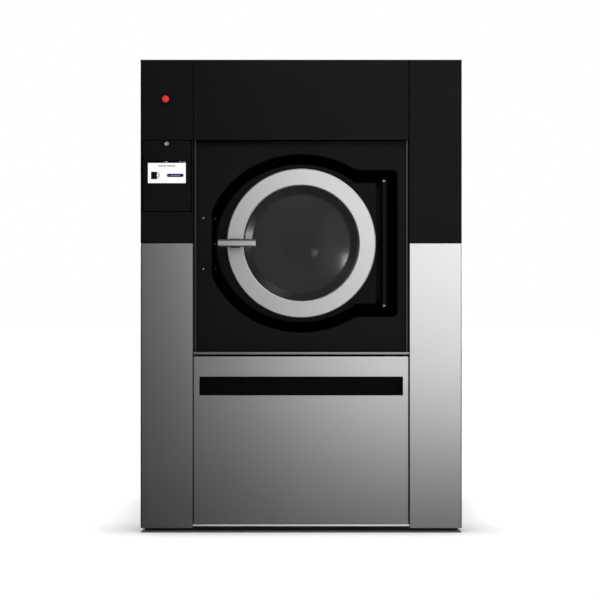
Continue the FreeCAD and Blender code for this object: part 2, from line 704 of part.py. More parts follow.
def door_plate():
    """Disc with a square ear for the hinge barrel, stepped for the glass and ribbed behind."""
    front = FACE + DOOR_FRONT
    disc = rod(DOOR_RADIUS, V(0, front, DRUM_Z), Y, DOOR_THICK)
    ear = box(0, DOOR_EAR_RIGHT, front, DOOR_BACK, DRUM_Z - DOOR_EAR_HALF, DRUM_Z + DOOR_EAR_HALF)
    ear = ear.makeFillet(DOOR_EAR_CORNER, edges_along(ear, Y, lambda p: p.x > DOOR_EAR_RIGHT - 1))
    plate = join([disc, ear])
    face = [f for f in plate.Faces if abs(f.CenterOfMass.y - front) < 0.01][0]
    plate = plate.makeChamfer(DOOR_EDGE, face.OuterWire.Edges)
    web = box(DOOR_EAR_RIGHT - BARREL_RADIUS, HINGE_X, HINGE_Y - BARREL_RADIUS / 2,
              HINGE_Y + BARREL_RADIUS / 2,
              DRUM_Z - DOOR_EAR_HALF + BARREL_RADIUS, DRUM_Z + DOOR_EAR_HALF - BARREL_RADIUS)
    barrel_foot = V(HINGE_X, HINGE_Y, DRUM_Z - BARREL_HALF)
    barrel = rod(BARREL_RADIUS, barrel_foot, Z, BARREL_HALF * 2)
    plate = join([plate, web, barrel, lock_tongue()])
    seat = GLASS_FLANGE + GASKET_WALL + FIT
    plate = plate.cut(rod(seat, V(0, front, DRUM_Z), Y, GASKET_SEAT))
    plate = plate.cut(rod(RING_INNER + GASKET_WALL * 1.5, V(0, front, DRUM_Z), Y, DOOR_THICK))
    plate = plate.cut(door_pockets())
    return plate.cut(rod(HINGE_PIN + RUN, barrel_foot, Z, BARREL_HALF * 2))


def door_pockets():
    """Ring of cored pockets in the back of the door frame, with a rib left between neighbours."""
    inner = MOUTH_RADIUS + COLLAR_WALL + SEAL_WALL + POCKET_EDGE
    outer = RING_OUTER - POCKET_EDGE / 2
    ring = tube(outer, inner, V(0, DOOR_BACK - POCKET_DEPTH, DRUM_Z), Y, POCKET_DEPTH)
    ribs = []
    for step in range(POCKET_COUNT):
        rib = box(-POCKET_RIB / 2, POCKET_RIB / 2, DOOR_BACK - POCKET_DEPTH, DOOR_BACK,
                  DRUM_Z + inner - 1, DRUM_Z + outer + 1)
        ribs.append(rib.rotated(V(0, 0, DRUM_Z), Y, 360.0 / POCKET_COUNT * (step + 0.5)))
    return ring.cut(Part.makeCompound(ribs))


def lock_tongue():
    """Eye on the back of the door that the lock bolt enters."""
    left = -DOOR_RADIUS + POCKET_EDGE / 2
    eye = box(left, left + TONGUE_WIDTH, DOOR_BACK - DOOR_EDGE, DOOR_BACK + TONGUE_LENGTH,
              DRUM_Z - TONGUE_HEIGHT / 2, DRUM_Z + TONGUE_HEIGHT / 2)
    eye = eye.makeFillet(TONGUE_WIDTH / 2, edges_along(eye, X, lambda p: p.y > DOOR_BACK))
    return eye.cut(rod(BOLT_RADIUS + BOLT_PLAY, V(left, FACE + BOLT_SET, DRUM_Z), X, TONGUE_WIDTH))


def door_ring():
    ring = tube(RING_OUTER, RING_INNER, V(0, FACE, DRUM_Z), Y, DOOR_FRONT)
    front = [e for e in ring.Edges if isinstance(e.Curve, Part.Circle)
             and abs(e.CenterOfMass.y - FACE) < 0.01]
    return ring.makeChamfer(RING_EDGE, front)


def glass_gasket():
    """Rubber channel round the rim of the glass, squeezed between the ring and the step of the door frame."""
    front = FACE + DOOR_FRONT
    rim = GLASS_FLANGE + FIT
    lip = GASKET_WALL - FIT
    seat = GLASS_FLANGE + GASKET_WALL
    back = RING_INNER + GASKET_WALL * 1.5 + FIT
    profile = [(RING_INNER + FIT, front), (seat, front),
               (seat, front + GASKET_SEAT), (back, front + GASKET_SEAT)]
    profile += [(back, front + GASKET_SEAT - lip), (rim, front + GASKET_SEAT - lip)]
    profile += [(rim, front + lip), (RING_INNER + FIT, front + lip)]
    return turned(profile, 0, DRUM_Z)


def dish(reach, front):
    """Points of the sunk floor from the middle to its edge, deepest in the middle."""
    parts = [step / DISH_STEPS for step in range(DISH_STEPS + 1)]
    sink = GLASS_DEPTH - GLASS_WALL_DEPTH
    return [(reach * part, front + GLASS_WALL_DEPTH + sink * (1 - part * part)) for part in parts]


def door_glass():
    """Dished glass: a clamped rim, a sloping wall and a floor that sinks further towards the middle."""
    front = FACE + DOOR_FRONT + GASKET_WALL
    back = front + GASKET_SEAT - GASKET_WALL * 2
    top = RING_INNER - GASKET_WALL
    inside = dish(GLASS_FLOOR_RADIUS, front) + [(top, front)]
    rim = [(GLASS_FLANGE, front), (GLASS_FLANGE, back), (top + GLASS_WALL, back)]
    outside = dish(GLASS_FLOOR_RADIUS, front + GLASS_WALL)
    return turned(inside + rim + outside[::-1], 0, DRUM_Z)


def handle_bracket():
    """Clevis screwed to the ring, with the upright pivot pin pressed through both cheeks."""
    half = HANDLE_LUG / 2 + FIT
    base_half = CHEEK * 3.3
    foot = box(HANDLE_PIVOT_X - base_half, HANDLE_PIVOT_X + base_half, FACE - CHEEK, FACE,
               DRUM_Z - half - CHEEK * 1.5, DRUM_Z + half + CHEEK * 1.5)
    cheek_half = CHEEK * 2
    parts = [foot]
    for side in (-1, 1):
        low = DRUM_Z + min(side * half, side * (half + CHEEK))
        cheek = box(HANDLE_PIVOT_X - cheek_half, HANDLE_PIVOT_X + cheek_half, PIVOT_Y, FACE - CHEEK, low,
                    low + CHEEK)
        nose = rod(cheek_half, V(HANDLE_PIVOT_X, PIVOT_Y, low), Z, CHEEK)
        parts += [cheek, nose]
    length = (half + CHEEK) * 2
    parts.append(rod(HANDLE_PIN, V(HANDLE_PIVOT_X, PIVOT_Y, DRUM_Z - length / 2), Z, length))
    return join(parts)


def door_handle():
    """Bevelled bar with one corner cut away and a lug behind it on the pivot pin."""
    front = FACE - HANDLE_PROUD
    half = HANDLE_HEIGHT / 2
    right = HANDLE_LEFT + HANDLE_LENGTH
    bar = box(HANDLE_LEFT, right, front, FACE - HANDLE_STANDOFF, DRUM_Z - half, DRUM_Z + half)
    corner = edges_along(bar, Y, lambda p: p.x < HANDLE_LEFT + 1 and p.z < DRUM_Z)
    bar = bar.makeChamfer(HANDLE_BEVEL * 1.6, corner)
    bar = bar.makeChamfer(HANDLE_BEVEL, edges_along(bar, X, lambda p: p.y < front + 1))
    reach = HANDLE_PIN * 2
    low = DRUM_Z - HANDLE_LUG / 2
    lug = box(HANDLE_PIVOT_X - reach, HANDLE_PIVOT_X + reach, FACE - HANDLE_STANDOFF, PIVOT_Y, low,
              low + HANDLE_LUG)
    eye = rod(reach, V(HANDLE_PIVOT_X, PIVOT_Y, low), Z, HANDLE_LUG)
    bore = rod(HANDLE_PIN + RUN, V(HANDLE_PIVOT_X, PIVOT_Y, low), Z, HANDLE_LUG)
    return join([bar, lug, eye]).cut(bore)


# Hinge and lock on the front of the floating tub

def hinge_bracket():
    """Upper arm: an eye over the hinge line, a bar back to the tub front and a foot bolted to it."""
    low = DRUM_Z + ARM_Z
    wall = FACE + TUB_FRONT
    eye = rod(BARREL_RADIUS, V(HINGE_X, HINGE_Y, low), Z, ARM_THICK)
    bar = box(HINGE_X - BARREL_RADIUS, HINGE_X + BARREL_RADIUS, HINGE_Y, wall, low, low + ARM_THICK)
    foot = box(HINGE_X - BARREL_RADIUS * 2, HINGE_X + BARREL_RADIUS * 2, wall - HINGE_FOOT, wall,
               low - BARREL_RADIUS * 2, low + BARREL_RADIUS)
    return join([eye, bar, foot]).cut(rod(HINGE_PIN + RUN, V(HINGE_X, HINGE_Y, low), Z, ARM_THICK))


def hinge_pin():
    """Upper pin: a spigot in the barrel, a bright collar and a neck through the arm."""
    low = DRUM_Z + BARREL_HALF
    foot = V(HINGE_X, HINGE_Y, low - HINGE_SPIGOT)
    neck = rod(HINGE_PIN, foot, Z, HINGE_SPIGOT + FIT + HINGE_COLLAR + ARM_THICK)
    collar = rod(BARREL_RADIUS, V(HINGE_X, HINGE_Y, low + FIT), Z, HINGE_COLLAR)
    return join([neck, collar])


def upper_and_lower(shape):
    return [shape, shape.mirror(V(0, 0, DRUM_Z), Z)]


def bolt_slot(y0, y1):
    """Slot for the peg that shows where the lock bolt stands."""
    play = BOLT_PEG + BOLT_PLAY
    return box(PEG_X - play, PEG_X + BOLT_TRAVEL + play, y0, y1, DRUM_Z - play, DRUM_Z + play)


def lock_housing():
    """Cast case on the tub front, bored across for the lock bolt."""
    left = LOCK_EDGE - LOCK_WIDTH
    case = box(left, LOCK_EDGE, FACE + LOCK_SET, FACE + TUB_FRONT, DRUM_Z - LOCK_HALF, DRUM_Z + LOCK_HALF)
    case = case.makeFillet(BOLT_RADIUS, edges_along(case, Y, lambda p: p.x < LOCK_EDGE - 1))
    bore = rod(BOLT_RADIUS + RUN, V(left + BOLT_RADIUS, FACE + BOLT_SET, DRUM_Z), X, LOCK_WIDTH - BOLT_RADIUS)
    return case.cut(bore).cut(bolt_slot(FACE + LOCK_SET, FACE + BOLT_SET))


def lock_plate():
    """Cover plate of the lock with its two screw heads and the peg slot."""
    y0 = FACE + LOCK_SET - LOCK_PLATE
    plate = box(LOCK_EDGE - LOCK_WIDTH, LOCK_EDGE, y0, FACE + LOCK_SET, DRUM_Z - LOCK_HALF,
                DRUM_Z + LOCK_HALF)
    plate = plate.makeFillet(BOLT_RADIUS, edges_along(plate, Y, lambda p: p.x < LOCK_EDGE - 1))
    heads = []
    for side in (-1, 1):
        z = DRUM_Z + side * (LOCK_HALF - SCREW_HEAD * 2.5)
        heads.append(rod(SCREW_HEAD, V(PEG_X, y0 - LOCK_PLATE, z), Y, LOCK_PLATE))
    return join([plate] + heads).cut(bolt_slot(y0, FACE + LOCK_SET))


def lock_bolt():
    """Sliding bolt with its marker peg."""
    tip = LOCK_EDGE - BOLT_PLAY * 2
    tail = LOCK_EDGE - LOCK_WIDTH + BOLT_RADIUS + BOLT_PLAY
    y = FACE + BOLT_SET
    shank = rod(BOLT_RADIUS, V(tail, y, DRUM_Z), X, tip - tail)
    tip_edge = [e for e in shank.Edges if isinstance(e.Curve, Part.Circle) and e.CenterOfMass.x > tip - 1]
    shank = shank.makeChamfer(BOLT_RADIUS / 4, tip_edge)
    peg = rod(BOLT_PEG, V(PEG_X, FACE + LOCK_SET - LOCK_PLATE * 2, DRUM_Z), Y,
              BOLT_SET - LOCK_SET + LOCK_PLATE * 2)
    return join([shank, peg])


save("door_plate", door_plate())
save("door_ring", door_ring())
save("glass_gasket", glass_gasket())
save("door_glass", door_glass())
save("handle_bracket", handle_bracket())
save("door_handle", door_handle())
save("hinge_brackets", upper_and_lower(hinge_bracket()))
save("hinge_pins", upper_and_lower(hinge_pin()))
save("lock_housing", lock_housing())
save("lock_plate", lock_plate())
save("lock_bolt", lock_bolt())


# Tub: shell with spigots, front plate with the mouth collar, door seal and the cradle under it

def tub_shell():
    """Rolled shell with a bolting flange, two hoops, a back wall, two upper spigots and the drain spigot."""
    centre = V(0, TUB_Y, DRUM_Z)
    solids = [rod(TUB_RADIUS, centre, Y, TUB_LENGTH)]
    solids.append(rod(TUB_RADIUS + TUB_FLANGE, centre, Y, TUB_HOOP))
    for share in (1 / 3, 2 / 3):
        solids.append(rod(TUB_RADIUS + TUB_HOOP, V(0, TUB_Y + TUB_LENGTH * share, DRUM_Z), Y, TUB_HOOP))
    pipe_y = FACE + UPPER_STATION
    upper = UPPER_PIPE_BORE + UPPER_PIPE_WALL
    for side in (-1, 1):
        solids.append(rod(upper, V(side * UPPER_PIPE_X, pipe_y, DRUM_Z), Z, UPPER_SPIGOT_Z - DRUM_Z))
    drain_y = FACE + STATION_DRAIN
    solids.append(rod(DRAIN_BORE + DRAIN_WALL, V(0, drain_y, DRAIN_SPIGOT_Z), Z, DRUM_Z - DRAIN_SPIGOT_Z))
    whole = join(solids)
    whole = whole.cut(rod(TUB_RADIUS - TUB_WALL, centre, Y, TUB_LENGTH - TUB_BACK))
    whole = whole.cut(rod(BEARING_RADIUS, centre, Y, TUB_LENGTH))
    for side in (-1, 1):
        whole = whole.cut(rod(UPPER_PIPE_BORE, V(side * UPPER_PIPE_X, pipe_y, DRUM_Z), Z,
                              UPPER_SPIGOT_Z - DRUM_Z))
    return whole.cut(rod(DRAIN_BORE, V(0, drain_y, DRAIN_SPIGOT_Z), Z, DRUM_Z - DRAIN_SPIGOT_Z))


def tub_front():
    """Flat front plate with a collar round the mouth."""
    y = FACE + TUB_FRONT
    plate = rod(TUB_RADIUS + TUB_FLANGE, V(0, y, DRUM_Z), Y, TUB_PLATE)
    collar = rod(MOUTH_RADIUS + COLLAR_WALL, V(0, y - COLLAR_LENGTH, DRUM_Z), Y, COLLAR_LENGTH)
    return join([plate, collar]).cut(rod(MOUTH_RADIUS, V(0, y - COLLAR_LENGTH, DRUM_Z), Y,
                                         COLLAR_LENGTH + TUB_PLATE))


def mouth_seal():
    """Rubber ring pushed over the collar; its flat front meets the back of the closed door."""
    front = DOOR_BACK + FIT
    step = FACE + TUB_FRONT - COLLAR_LENGTH - FIT
    back = FACE + TUB_FRONT - FIT
    inner = MOUTH_RADIUS - COLLAR_WALL / 2
    over = MOUTH_RADIUS + COLLAR_WALL + FIT
    outer = MOUTH_RADIUS + COLLAR_WALL + SEAL_WALL
    return turned([(inner, front), (outer, front), (outer, back), (over, back),
                   (over, step), (inner, step)], 0, DRUM_Z)


def tub_cradle():
    """Two hollow rails on the springs, joined by two saddle plates cut to the round of the tub."""
    y0 = FACE + STATION_FRONT - CRADLE_WIDTH
    y1 = MOTOR_END - MOTOR_FOOT * 4
    top = CRADLE_BOTTOM + CRADLE_TUBE
    pieces = []
    for side in (-1, 1):
        x = side * CRADLE_X
        rail = box(x - CRADLE_WIDTH / 2, x + CRADLE_WIDTH / 2, y0, y1, CRADLE_BOTTOM, top)
        hollow = box(x - CRADLE_WIDTH / 2 + BEAM_WALL, x + CRADLE_WIDTH / 2 - BEAM_WALL, y0, y1,
                     CRADLE_BOTTOM + BEAM_WALL, top - BEAM_WALL)
        pieces.append(rail.cut(hollow))
    for station in (STATION_FRONT, STATION_REAR):
        y = FACE + station - SADDLE_THICK / 2
        plate = box(-SADDLE_HALF, SADDLE_HALF, y, y + SADDLE_THICK, top, DRUM_Z - TUB_RADIUS / 2)
        plate = plate.cut(rod(TUB_RADIUS + FIT, V(0, y, DRUM_Z), Y, SADDLE_THICK))
        for side in (-1, 1):
            hole_z = top + CRADLE_TUBE * 1.5
            plate = plate.cut(rod(CRADLE_TUBE * 0.9, V(side * SADDLE_HALF / 2, y, hole_z), Y, SADDLE_THICK))
        pieces.append(plate)
    return join(pieces)


# Drum, spider and bearings

def drum_shell():
    """Rolled drum with a turned-in lip at its mouth and a stiff back."""
    y0 = FACE + DRUM_FRONT
    inside = DRUM_RADIUS - DRUM_WALL
    lip = DRUM_MOUTH + DRUM_WALL
    back = DRUM_END - DRUM_BACK
    profile = [(0, DRUM_END), (DRUM_RADIUS, DRUM_END), (DRUM_RADIUS, y0), (DRUM_MOUTH, y0)]
    profile += [(DRUM_MOUTH, y0 + DRUM_LIP), (lip, y0 + DRUM_LIP), (lip, y0 + DRUM_WALL)]
    profile += [(inside, y0 + DRUM_WALL), (inside, back), (0, back)]
    return turned(profile, 0, DRUM_Z)


def lifter_block(inset, y0, y1):
    """Wedge along the top of the drum, drawn in from the outside of the lifter by its wall."""
    inside = DRUM_RADIUS - DRUM_WALL
    seat = math.sqrt(inside ** 2 - (LIFTER_BASE / 2) ** 2) - FIT
    tip = inside - LIFTER_HEIGHT + inset
    base = LIFTER_BASE / 2 - inset
    crest = LIFTER_TOP / 2 - inset
    points = [V(x, y0, DRUM_Z + z) for x, z in ((-base, seat), (-crest, tip), (crest, tip), (base, seat))]
    block = Part.Face(Part.makePolygon(points + points[:1])).extrude(V(0, y1 - y0, 0))
    return block.makeFillet(LIFTER_TOP / 4 - inset, edges_along(block, Y, lambda p: p.z < DRUM_Z + tip + 1))


def drum_lifters():
    """Folded lifters along the inside of the drum, closed at both ends."""
    y0 = FACE + DRUM_FRONT + DRUM_WALL + FIT
    y1 = DRUM_END - DRUM_BACK - FIT
    lifter = lifter_block(0, y0, y1).cut(lifter_block(LIFTER_WALL, y0 + LIFTER_WALL, y1 - LIFTER_WALL))
    turn = 360.0 / LIFTER_COUNT
    return [lifter.rotated(V(0, 0, DRUM_Z), Y, turn * step) for step in range(LIFTER_COUNT)]


def drum_spider():
    """Three tapered arms on a hub behind the drum, with the shaft that runs back to the pulley."""
    reach = DRUM_RADIUS * 0.94
    tip = SPIDER_ARM * 0.3
    points = [V(-SPIDER_ARM / 2, DRUM_END, DRUM_Z), V(-tip, DRUM_END, DRUM_Z + reach)]
    points += [V(tip, DRUM_END, DRUM_Z + reach), V(SPIDER_ARM / 2, DRUM_END, DRUM_Z)]
    arm = Part.Face(Part.makePolygon(points + points[:1])).extrude(V(0, SPIDER_DEPTH * 0.7, 0))
    pieces = [rod(SPIDER_HUB, V(0, DRUM_END, DRUM_Z), Y, SPIDER_DEPTH)]
    for step in range(LIFTER_COUNT):
        pieces.append(arm.rotated(V(0, 0, DRUM_Z), Y, 360.0 / LIFTER_COUNT * step))
    end = PULLEY_Y + PULLEY_WIDTH
    pieces.append(rod(SHAFT_RADIUS, V(0, DRUM_END, DRUM_Z), Y, end - DRUM_END))
    return join(pieces)


def bearing_housing():
    """Bored casting on the tub back: a flange, a barrel and gussets between them."""
    barrel = BEARING_RADIUS + HOUSING_WALL
    start = V(0, TUB_END, DRUM_Z)
    pieces = [rod(HOUSING_FLANGE, start, Y, HOUSING_PLATE), rod(barrel, start, Y, HOUSING_LENGTH)]
    low = TUB_END + HOUSING_PLATE
    points = [V(-GUSSET / 2, low, DRUM_Z + barrel - GUSSET),
              V(-GUSSET / 2, low, DRUM_Z + HOUSING_FLANGE - GUSSET)]
    points.append(V(-GUSSET / 2, HOUSING_END - GUSSET, DRUM_Z + barrel - GUSSET))
    gusset = Part.Face(Part.makePolygon(points + points[:1])).extrude(V(GUSSET, 0, 0))
    for step in range(GUSSET_COUNT):
        pieces.append(gusset.rotated(V(0, 0, DRUM_Z), Y, 360.0 / GUSSET_COUNT * step))
    return join(pieces).cut(rod(BEARING_RADIUS, start, Y, HOUSING_LENGTH))


def bearing(y):
    """One sealed drum bearing, a running fit on the shaft."""
    inner = SHAFT_RADIUS + RUN
    outer = BEARING_RADIUS - RUN
    end = y + BEARING_WIDTH
    return turned([(inner, y), (outer, y), (outer, end), (inner, end)], 0, DRUM_Z)


def drum_bearings():
    return [bearing(TUB_END + SEAL_WIDTH * 2), bearing(HOUSING_END - SEAL_WIDTH - BEARING_WIDTH)]


def shaft_seal():
    """Lip seal between the tub and the front bearing."""
    y = TUB_END + SEAL_WIDTH / 2
    inner = SHAFT_RADIUS + RUN
    outer = BEARING_RADIUS - RUN
    middle = (inner + outer) / 2
    profile = [(inner, y), (inner, y + SEAL_WIDTH / 3), (middle, y + SEAL_WIDTH), (outer, y + SEAL_WIDTH),
               (outer, y)]
    return turned(profile, 0, DRUM_Z)


# Belt drive and motor

def grooved_rim(radius):
    """Outer half of a pulley profile, flanged at both edges to keep the belt on."""
    end = PULLEY_Y + PULLEY_WIDTH
    lip = radius + PULLEY_FLANGE
    inner_low = PULLEY_Y + PULLEY_FLANGE_WIDTH
    inner_high = end - PULLEY_FLANGE_WIDTH
    return [(lip, PULLEY_Y), (lip, inner_low), (radius, inner_low), (radius, inner_high), (lip, inner_high),
            (lip, end)]


def drum_pulley():
    """Large pulley: flanged rim, thin web with round holes and a hub on the drum shaft."""
    end = PULLEY_Y + PULLEY_WIDTH
    middle = PULLEY_Y + PULLEY_WIDTH / 2
    web = PULLEY_RIM * 0.3
    under = PULLEY_RADIUS - PULLEY_RIM
    bore = SHAFT_RADIUS + RUN
    profile = grooved_rim(PULLEY_RADIUS)
    profile += [(under, end), (under, middle + web), (PULLEY_HUB, middle + web),
                (PULLEY_HUB, end), (bore, end)]
    profile += [(bore, PULLEY_Y), (PULLEY_HUB, PULLEY_Y), (PULLEY_HUB, middle - web), (under, middle - web)]
    wheel = turned(profile + [(under, PULLEY_Y)], 0, DRUM_Z)
    pitch = (under + PULLEY_HUB) / 2
    hole = rod((under - PULLEY_HUB) * 0.33, V(0, PULLEY_Y, DRUM_Z + pitch), Y, PULLEY_WIDTH)
    holes = [hole.rotated(V(0, 0, DRUM_Z), Y, 360.0 / GUSSET_COUNT * step) for step in range(GUSSET_COUNT)]
    return wheel.cut(Part.makeCompound(holes))


def motor_pulley():
    """Small pulley on the rotor shaft."""
    tail = MOTOR_END - MOTOR_SHAFT * 4
    profile = [(0, tail), (MOTOR_SHAFT, tail), (MOTOR_SHAFT, PULLEY_Y)] + grooved_rim(MOTOR_PULLEY)
    return turned(profile + [(0, PULLEY_Y + PULLEY_WIDTH)], 0, MOTOR_Z)


def belt_loop(grow, y):
    """Loop round both pulleys at a distance from their rims: two arcs joined by their outer tangents."""
    large = PULLEY_RADIUS + grow
    small = MOTOR_PULLEY + grow
    lean = math.asin((large - small) / (DRUM_Z - MOTOR_Z))

    def touch(radius, z, side):
        return V(side * radius * math.cos(lean), y, z - radius * math.sin(lean))

    over = Part.Arc(touch(large, DRUM_Z, 1), V(0, y, DRUM_Z + large), touch(large, DRUM_Z, -1)).toShape()
    left = Part.makeLine(touch(large, DRUM_Z, -1), touch(small, MOTOR_Z, -1))
    under = Part.Arc(touch(small, MOTOR_Z, -1), V(0, y, MOTOR_Z - small), touch(small, MOTOR_Z, 1)).toShape()
    right = Part.makeLine(touch(small, MOTOR_Z, 1), touch(large, DRUM_Z, 1))
    return Part.Face(Part.Wire([over, left, under, right]))


def drive_belt():
    y = PULLEY_Y + PULLEY_FLANGE_WIDTH + SEAM / 2
    width = PULLEY_WIDTH - PULLEY_FLANGE_WIDTH * 2 - SEAM
    band = belt_loop(FIT + BELT_THICK, y).extrude(V(0, width, 0))
    return band.cut(belt_loop(FIT, y).extrude(V(0, width, 0)))


def motor():
    """Finned motor on two feet, with end bells and a terminal box, bored for its rotor shaft."""
    start = MOTOR_END - MOTOR_LENGTH
    core = MOTOR_RADIUS - MOTOR_FIN
    pieces = [rod(core, V(0, start, MOTOR_Z), Y, MOTOR_LENGTH)]
    bell = MOTOR_LENGTH * 0.12
    for y in (start, MOTOR_END - bell):
        pieces.append(rod(MOTOR_RADIUS - SHEET, V(0, y, MOTOR_Z), Y, bell))
    for step in range(MOTOR_FINS):
        fin = box(-SHEET, SHEET, start + bell, MOTOR_END - bell, MOTOR_Z + core - SHEET,
                  MOTOR_Z + MOTOR_RADIUS)
        pieces.append(fin.rotated(V(0, 0, MOTOR_Z), Y, 360.0 / MOTOR_FINS * (step + 0.5)))
    for y in (start + bell, MOTOR_END - bell * 2):
        pieces.append(box(-MOTOR_RADIUS, MOTOR_RADIUS, y, y + bell, CRADLE_BOTTOM,
                          CRADLE_BOTTOM + MOTOR_FOOT * 2))
        pieces.append(box(-core / 2, core / 2, y, y + bell, CRADLE_BOTTOM, MOTOR_Z))
    pieces.append(box(core * 0.8, MOTOR_RADIUS * 1.4, start + bell * 2, start + bell * 5,
                      MOTOR_Z - core / 2, MOTOR_Z + core / 2))
    bore = rod(MOTOR_SHAFT + RUN, V(0, MOTOR_END - MOTOR_SHAFT * 4.2, MOTOR_Z), Y, MOTOR_SHAFT * 4.2)
    return join(pieces).cut(bore)


def motor_mount():
    """Plate under the rear of the cradle rails, slotted so that the motor can shift to tension the belt."""
    start = MOTOR_END - MOTOR_LENGTH
    y0 = FACE + STATION_REAR + SPRING_RADIUS + MOTOR_FIN
    reach = CRADLE_X + CRADLE_WIDTH / 2
    y1 = MOTOR_END - MOTOR_FOOT * 4
    plate = box(-reach, reach, y0, y1, CRADLE_BOTTOM - MOUNT_PLATE, CRADLE_BOTTOM)
    for side in (-1, 1):
        x = side * (MOTOR_RADIUS + MOTOR_FIN)
        slot = box(x - MOTOR_FIN / 2, x + MOTOR_FIN / 2, start + MOTOR_LENGTH * 0.4,
                   start + MOTOR_LENGTH * 0.7,
                   CRADLE_BOTTOM - MOUNT_PLATE, CRADLE_BOTTOM)
        plate = plate.cut(slot)
    return plate


# Air springs and dampers between the floor frame and the cradle

def air_spring(x, station):
    """Rubber bellows with two convolutions between its end plates."""
    low = BASE_HEIGHT + SPRING_SEAT + HOSE_GAP
    high = CRADLE_BOTTOM - HOSE_GAP
    rise = high - low
    waist = SPRING_RADIUS * 0.76
    shape = [(0.0, waist), (0.24, SPRING_RADIUS), (0.48, waist), (0.52, waist),
             (0.76, SPRING_RADIUS), (1.0, waist)]
    profile = [(0, low)] + [(radius, low + rise * share) for share, radius in shape] + [(0, high)]
    return stood(profile, x, FACE + station)


def at_springs(maker, x):
    return [maker(side * x, station) for side in (-1, 1) for station in (STATION_FRONT, STATION_REAR)]


def damper_cylinder(x, station):
    """Closed cylinder standing on its beam, with a guide cap for the rod."""
    y = FACE + station
    shell = rod(DAMPER_RADIUS, V(x, y, BASE_HEIGHT), Z, DAMPER_LENGTH)
    room = rod(DAMPER_BORE, V(x, y, BASE_HEIGHT + DAMPER_CAP), Z, DAMPER_LENGTH - DAMPER_CAP * 2)
    guide = rod(DAMPER_ROD + RUN, V(x, y, BASE_HEIGHT + DAMPER_CAP), Z, DAMPER_LENGTH)
    return shell.cut(room).cut(guide)


def damper_rod(x, station):
    """Rod hung from the saddle plate, with its piston inside the cylinder."""
    y = FACE + station
    low = BASE_HEIGHT + DAMPER_CAP + STROKE * 1.5
    stem = rod(DAMPER_ROD, V(x, y, low), Z, CRADLE_BOTTOM + CRADLE_TUBE - low)
    piston = rod(DAMPER_BORE - FIT, V(x, y, low + DAMPER_CAP), Z, DAMPER_CAP)
    return join([stem, piston])


# Hoses and pipes

def ribbed_hose(x, y, low, high, bore, wall, ribs):
    """Upright bellows hose with plain ends and a straight bore."""
    pitch = (high - low) / (ribs + 1)
    crest = wall * 2.5
    profile = [(bore, low), (bore + wall, low), (bore + wall, low + pitch / 2)]
    for rib in range(ribs):
        start = low + pitch / 2 + rib * pitch
        profile += [(bore + crest, start + pitch / 2), (bore + wall, start + pitch)]
    profile += [(bore + wall, high), (bore, high)]
    return stood(profile, x, y)


def upper_hoses():
    low = UPPER_SPIGOT_Z + HOSE_GAP
    high = UPPER_SPIGOT_Z + UPPER_HOSE - HOSE_GAP
    y = FACE + UPPER_STATION
    return [ribbed_hose(side * UPPER_PIPE_X, y, low, high, UPPER_PIPE_BORE, UPPER_PIPE_WALL, HOSE_RIBS)
            for side in (-1, 1)]


def drain_hose():
    low = DRAIN_TOP + HOSE_GAP
    high = DRAIN_SPIGOT_Z - HOSE_GAP
    return ribbed_hose(0, FACE + STATION_DRAIN, low, high, DRAIN_BORE, DRAIN_WALL, HOSE_RIBS + 2)


def upper_pipe(x, end):
    """Square elbow on top of a hose and a straight run towards the rear."""
    low = UPPER_SPIGOT_Z + UPPER_HOSE
    y = FACE + UPPER_STATION
    outer = UPPER_PIPE_BORE + UPPER_PIPE_WALL
    drop = rod(outer + UPPER_PIPE_WALL, V(x, y, low), Z, UPPER_BEND)
    run_start = V(x, y - outer - UPPER_PIPE_WALL * 2, low + UPPER_BEND)
    run = rod(outer, run_start, Y, end - run_start.y)
    pipe = join([drop, run]).cut(rod(UPPER_PIPE_BORE, V(x, y, low), Z, UPPER_BEND))
    return pipe.cut(rod(UPPER_PIPE_BORE - UPPER_PIPE_WALL, V(x, y, low + UPPER_BEND), Y, end - y))


def vent_outlet():
    """Vent pipe out of the rear, with a collar against the rear panel."""
    pipe = upper_pipe(UPPER_PIPE_X, REAR + STUB_LENGTH)
    outer = UPPER_PIPE_BORE + UPPER_PIPE_WALL
    z = UPPER_SPIGOT_Z + UPPER_HOSE + UPPER_BEND
    return join([pipe, tube(outer + LIP, outer, V(UPPER_PIPE_X, REAR, z), Y, LOCKNUT)])


def water_inlet():
    """Fill pipe, valve block behind the rear panel and two threaded stubs for the supply hoses."""
    block_y = REAR - SHEET - VALVE_DEPTH
    z = UPPER_SPIGOT_Z + UPPER_HOSE + UPPER_BEND
    outer = UPPER_PIPE_BORE + UPPER_PIPE_WALL
    pieces = [upper_pipe(-UPPER_PIPE_X, block_y)]
    half = INLET_SPACING / 2 + INLET_RADIUS * 2
    pieces.append(box(-UPPER_PIPE_X - half, -UPPER_PIPE_X + half, block_y, REAR - SHEET, z - outer,
                      z + outer))
    for side in (-1, 1):
        x = -UPPER_PIPE_X + side * INLET_SPACING / 2
        pieces.append(rod(INLET_RADIUS, V(x, REAR - SHEET, z), Y, STUB_LENGTH * 0.75))
        pieces.append(hexagon(INLET_RADIUS * 1.5, x, REAR, z, LOCKNUT))
        pieces.append(rod(INLET_RADIUS * 1.3, V(x, block_y + VALVE_DEPTH / 2, z + outer), Z, VALVE_COIL))
    whole = join(pieces)
    for side in (-1, 1):
        mouth = V(-UPPER_PIPE_X + side * INLET_SPACING / 2, REAR, z)
        whole = whole.cut(rod(INLET_RADIUS - UPPER_PIPE_WALL, mouth, Y, STUB_LENGTH))
    return whole


